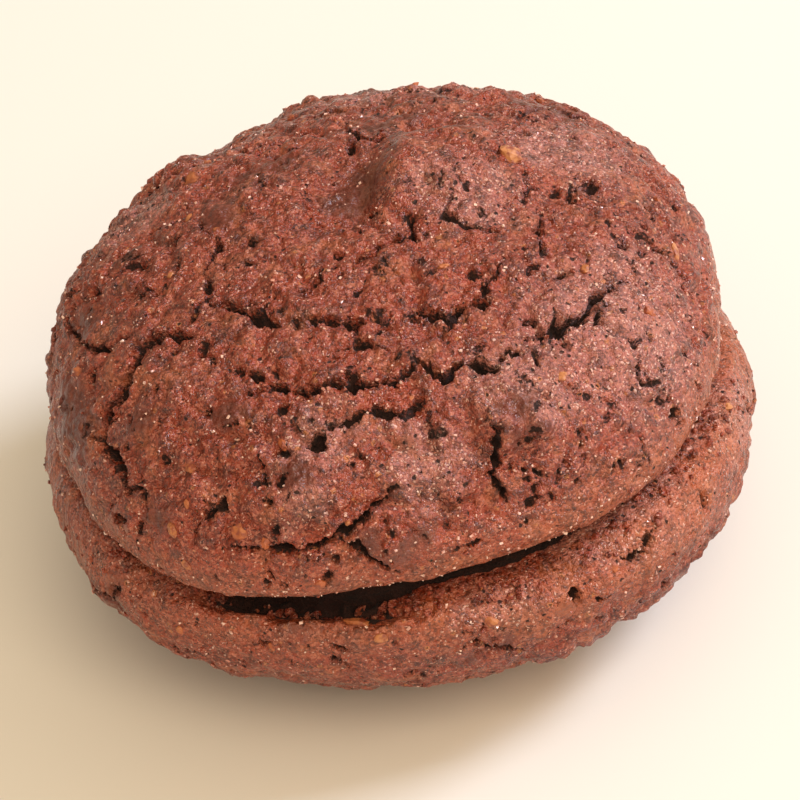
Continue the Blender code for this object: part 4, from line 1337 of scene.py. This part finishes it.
@dataclass
class Garnish:
    """What lies in and on the crust: almond, sugar and loose crumbs."""

    upper: ShellCrust
    lower: ShellCrust
    random_nuts: int = 24
    crystals: int = 2200
    crumbs: int = 300
    seam_crumbs: int = 240
    finders: dict[str, kdtree.KDTree] = field(init=False)

    def build(self) -> None:
        """Strew the almond, the sugar and the crumbs."""
        self.finders = {shell.slot: self.finder(shell) for shell in (self.upper, self.lower)}
        self.almonds()
        self.sugar_and_glints()
        self.loose_crumbs()

    def finder(self, shell: ShellCrust) -> kdtree.KDTree:
        """A search tree over a shell's surface points, by their crust millimetres."""
        tree = kdtree.KDTree(len(shell.surface_uv))
        for index, (u, v) in enumerate(shell.surface_uv.tolist()):
            tree.insert((u, v, 0.0), index)
        tree.balance()
        return tree

    def spot(self, shell: ShellCrust, u: float, v: float) -> int:
        """The surface point nearest to crust millimetres (u, v)."""
        return self.finders[shell.slot].find((u, v, 0.0))[1]

    def almonds(self) -> None:
        """Named almond bits where the photograph shows them, and small ones between."""
        bits = Strewing("almond_bits", "upper_crust", ToastedAlmond(), seed=41)
        bits.shape(rounds=2)
        for shell, nuts in ((self.upper, UPPER_NUTS), (self.lower, LOWER_NUTS)):
            for nut in nuts:
                at = self.spot(shell, nut.u, nut.v)
                bits.drop(shell, at, (nut.length, nut.width, nut.height), nut.heading,
                          sunk=0.55, uneven=0.16)
            for _ in range(self.random_nuts):
                at = self.anywhere(shell, bits.rng, 0.0)
                size = bits.rng.uniform(0.35, 0.8)
                bits.drop(shell, at, (size * bits.rng.uniform(1.0, 1.7), size, size * 0.7),
                          bits.rng.uniform(0, 180), sunk=0.65, uneven=0.2)
        bits.build()

    def sugar_and_glints(self) -> None:
        """Crystals 0.06 to 0.16 mm wide and up to 0.3 mm long, thickest at the splits and the seam."""
        grains = Strewing("sugar_crystals", "upper_crust", SugarCrystal(), seed=42)
        grains.cube()
        for shell, share in ((self.upper, 0.68), (self.lower, 0.32)):
            for _ in range(round(self.crystals * share)):
                at = self.anywhere(shell, grains.rng, 0.4)
                size = 0.06 + 0.1 * grains.rng.random() ** 2
                length, height = size * grains.rng.uniform(1.0, 1.8), size * grains.rng.uniform(0.6, 1.0)
                grains.drop(shell, at, (length, size, height), grains.rng.uniform(0, 180),
                            sunk=0.35, uneven=0.3, tumble=50.0)
        grains.build()

    def loose_crumbs(self) -> None:
        """Crumbs of crust that broke off and lie in the splits and along the seam."""
        crumbs = Strewing("loose_crumbs", "lower_crust", BakedCrust(), seed=43)
        crumbs.shape(rounds=1)
        for shell, share in ((self.upper, 0.5), (self.lower, 0.5)):
            for _ in range(round(self.crumbs * share)):
                at = self.anywhere(shell, crumbs.rng, 1.0)
                size = 0.15 + 0.35 * crumbs.rng.random() ** 2
                crumbs.drop(shell, at, (size * crumbs.rng.uniform(1.0, 1.5), size, size * 0.8),
                            crumbs.rng.uniform(0, 180), sunk=0.4, uneven=0.25, tumble=40.0)
        self.seam_litter(crumbs)
        crumbs.build()

    def seam_litter(self, crumbs: Strewing) -> None:
        """Crumbs lying on the lower shell's lip, under the upper shell's edge at the front."""
        shell = self.lower
        angle = np.degrees(np.arctan2(shell.surface_uv[:, 1], shell.surface_uv[:, 0]))
        share = shell.surface_share
        lip = np.flatnonzero((share > 0.5) & (share < 1.3) & (angle > 20.0) & (angle < 150.0))
        for _ in range(self.seam_crumbs):
            at = int(lip[crumbs.rng.randrange(len(lip))])
            size = 0.25 + 0.5 * crumbs.rng.random() ** 2
            crumbs.drop(shell, at, (size * crumbs.rng.uniform(1.0, 1.6), size, size * 0.8),
                        crumbs.rng.uniform(0, 180), sunk=0.4, uneven=0.25, tumble=40.0)

    def anywhere(self, shell: ShellCrust, rng: random.Random, near_splits: float) -> int:
        """A random surface point outside the splits.

        Args:
            shell: the shell to look on.
            rng: the seeded source of random numbers.
            near_splits: the share of draws that must lie close beside a split, or at the seam.

        Returns:
            The point's number.
        """
        reach = shell.form.reach() + 2.5
        wanted = rng.random() < near_splits
        for _ in range(60):
            away, turn = reach * math.sqrt(rng.random()), rng.uniform(-math.pi, math.pi)
            at = self.spot(shell, away * math.cos(turn), away * math.sin(turn))
            opening = shell.surface_opening[at]
            if opening < 0.0 and (not wanted or opening > -0.45 or away > reach - 3.0):
                return at
        return at


@dataclass(frozen=True)
class Lamp:
    """One square soft light: place and width in metres, power in watts."""

    name: str
    place: tuple[float, float, float]
    width: float
    power: float
    colour: str


@dataclass
class Studio:
    """Camera at the photograph's view of the macaron, soft light and a plain pale floor."""

    seam_height: float
    elevation: float = 39.6
    roll: float = 9.8
    distance: float = 320.0
    lens: float = 207.8
    aim_right: float = 0.63
    aim_down: float = 1.32
    floor_width: float = 3000.0
    floor_colour: str = "#e3e1d9"
    floor_roughness: float = 0.9
    room_colour: str = "#ffe9cc"
    palest_way: tuple[float, float, float] = (0.74, -0.60, 0.30)
    dim: float = 0.42
    pale: float = 1.12
    lamps: tuple[Lamp, ...] = (
        Lamp("window", (0.46, 0.04, 0.42), 0.18, 3.3, "#dfe8ff"),
        Lamp("fill", (0.16, -0.46, 0.56), 0.4, 2.2, "#ffe6c4"),
    )

    def build(self) -> None:
        """Set up the camera, the lights and the floor."""
        self.camera()
        self.lights()
        self.floor()

    def camera(self) -> None:
        """Place the camera and make it the scene's."""
        data = bpy.data.cameras.new("camera")
        data.lens = self.lens
        data.sensor_width = 36.0
        data.clip_start = 0.01
        eye = bpy.data.objects.new("camera", data)
        bpy.context.scene.collection.objects.link(eye)
        up = math.radians(self.elevation)
        back = Vector((0.0, -math.cos(up), math.sin(up)))
        tilt = Matrix.Rotation(-math.radians(self.roll), 3, "Z")
        facing = (-back).to_track_quat("-Z", "Y").to_matrix() @ tilt
        aim = Vector((0.0, 0.0, self.seam_height)) + facing @ Vector((self.aim_right, -self.aim_down, 0.0))
        place = (aim + back * self.distance) * MM
        eye.matrix_world = Matrix.Translation(place) @ facing.to_4x4()
        bpy.context.scene.camera = eye

    def lights(self) -> None:
        """A cool window on the right, a warm fill from the front, and an uneven pale room."""
        for lamp in self.lamps:
            self.hang(lamp)
        world = bpy.data.worlds.new("studio")
        world.use_nodes = True
        room = world.node_tree.nodes["Background"]
        room.inputs["Color"].default_value = linear(self.room_colour)
        # the room is palest in front on the right and dimmest behind the macaron's left
        way = add(world.node_tree, "ShaderNodeTexCoord").outputs["Generated"]
        towards = add(world.node_tree, "ShaderNodeVectorMath", {1: self.palest_way}, {0: way},
                      operation="DOT_PRODUCT")
        glow = add(world.node_tree, "ShaderNodeMapRange",
                   {"From Min": -0.7, "From Max": 0.9, "To Min": self.dim, "To Max": self.pale},
                   {"Value": towards.outputs["Value"]})
        world.node_tree.links.new(glow.outputs["Result"], room.inputs["Strength"])
        bpy.context.scene.world = world
        bpy.context.scene.view_settings.view_transform = "Standard"

    def hang(self, lamp: Lamp) -> None:
        """Add one lamp, facing the macaron."""
        data = bpy.data.lights.new(lamp.name, "AREA")
        data.color = linear(lamp.colour)[:3]
        data.energy = lamp.power
        data.size = lamp.width
        light = bpy.data.objects.new(lamp.name, data)
        bpy.context.scene.collection.objects.link(light)
        light.location = lamp.place
        aim = Vector((0.0, 0.0, self.seam_height * MM)) - Vector(lamp.place)
        light.rotation_euler = aim.to_track_quat("-Z", "Y").to_euler()

    def floor(self) -> None:
        """Lay the plain pale floor that the macaron stands on."""
        bpy.ops.object.select_all(action="DESELECT")
        bpy.ops.mesh.primitive_plane_add(size=self.floor_width * MM)
        floor = bpy.context.active_object
        floor.name = "floor"
        stuff = bpy.data.materials.new("painted_board")
        stuff.use_nodes = True
        shader = stuff.node_tree.nodes["Principled BSDF"]
        shader.inputs["Base Color"].default_value = linear(self.floor_colour)
        shader.inputs["Roughness"].default_value = self.floor_roughness
        floor.data.materials.append(stuff)


def main() -> None:
    """Build the studio and the macaron's pieces, one after the other."""
    logging.basicConfig(level=logging.INFO, format="%(name)s: %(message)s")
    low_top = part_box("lower_shell")[1][2] / MM
    Studio(seam_height=low_top + 0.15).build()
    finish = BakedCrust()
    rings = 290
    upper = ShellCrust(
        UPPER_FORM, UPPER_LUMPS, UPPER_CRACKS, UPPER_PITS, UPPER_PATCHES, UPPER_FOAM_AND_SHEEN,
        node="upper_shell", slot="upper_crust", finish=finish,
        joint_height=low_top + 0.3, rings=rings, keep_triangles=198_000,
    )
    upper.build()
    lower = ShellCrust(
        LOWER_FORM, LOWER_LUMPS, LOWER_CRACKS, LOWER_PITS, LOWER_PATCHES, LOWER_FOAM_AND_SHEEN,
        node="lower_shell", slot="lower_crust", finish=finish,
        joint_height=low_top, rings=min(rings, 240), keep_triangles=180_000,
    )
    lower.build()
    Garnish(upper, lower).build()


if __name__ == "__main__":
    main()
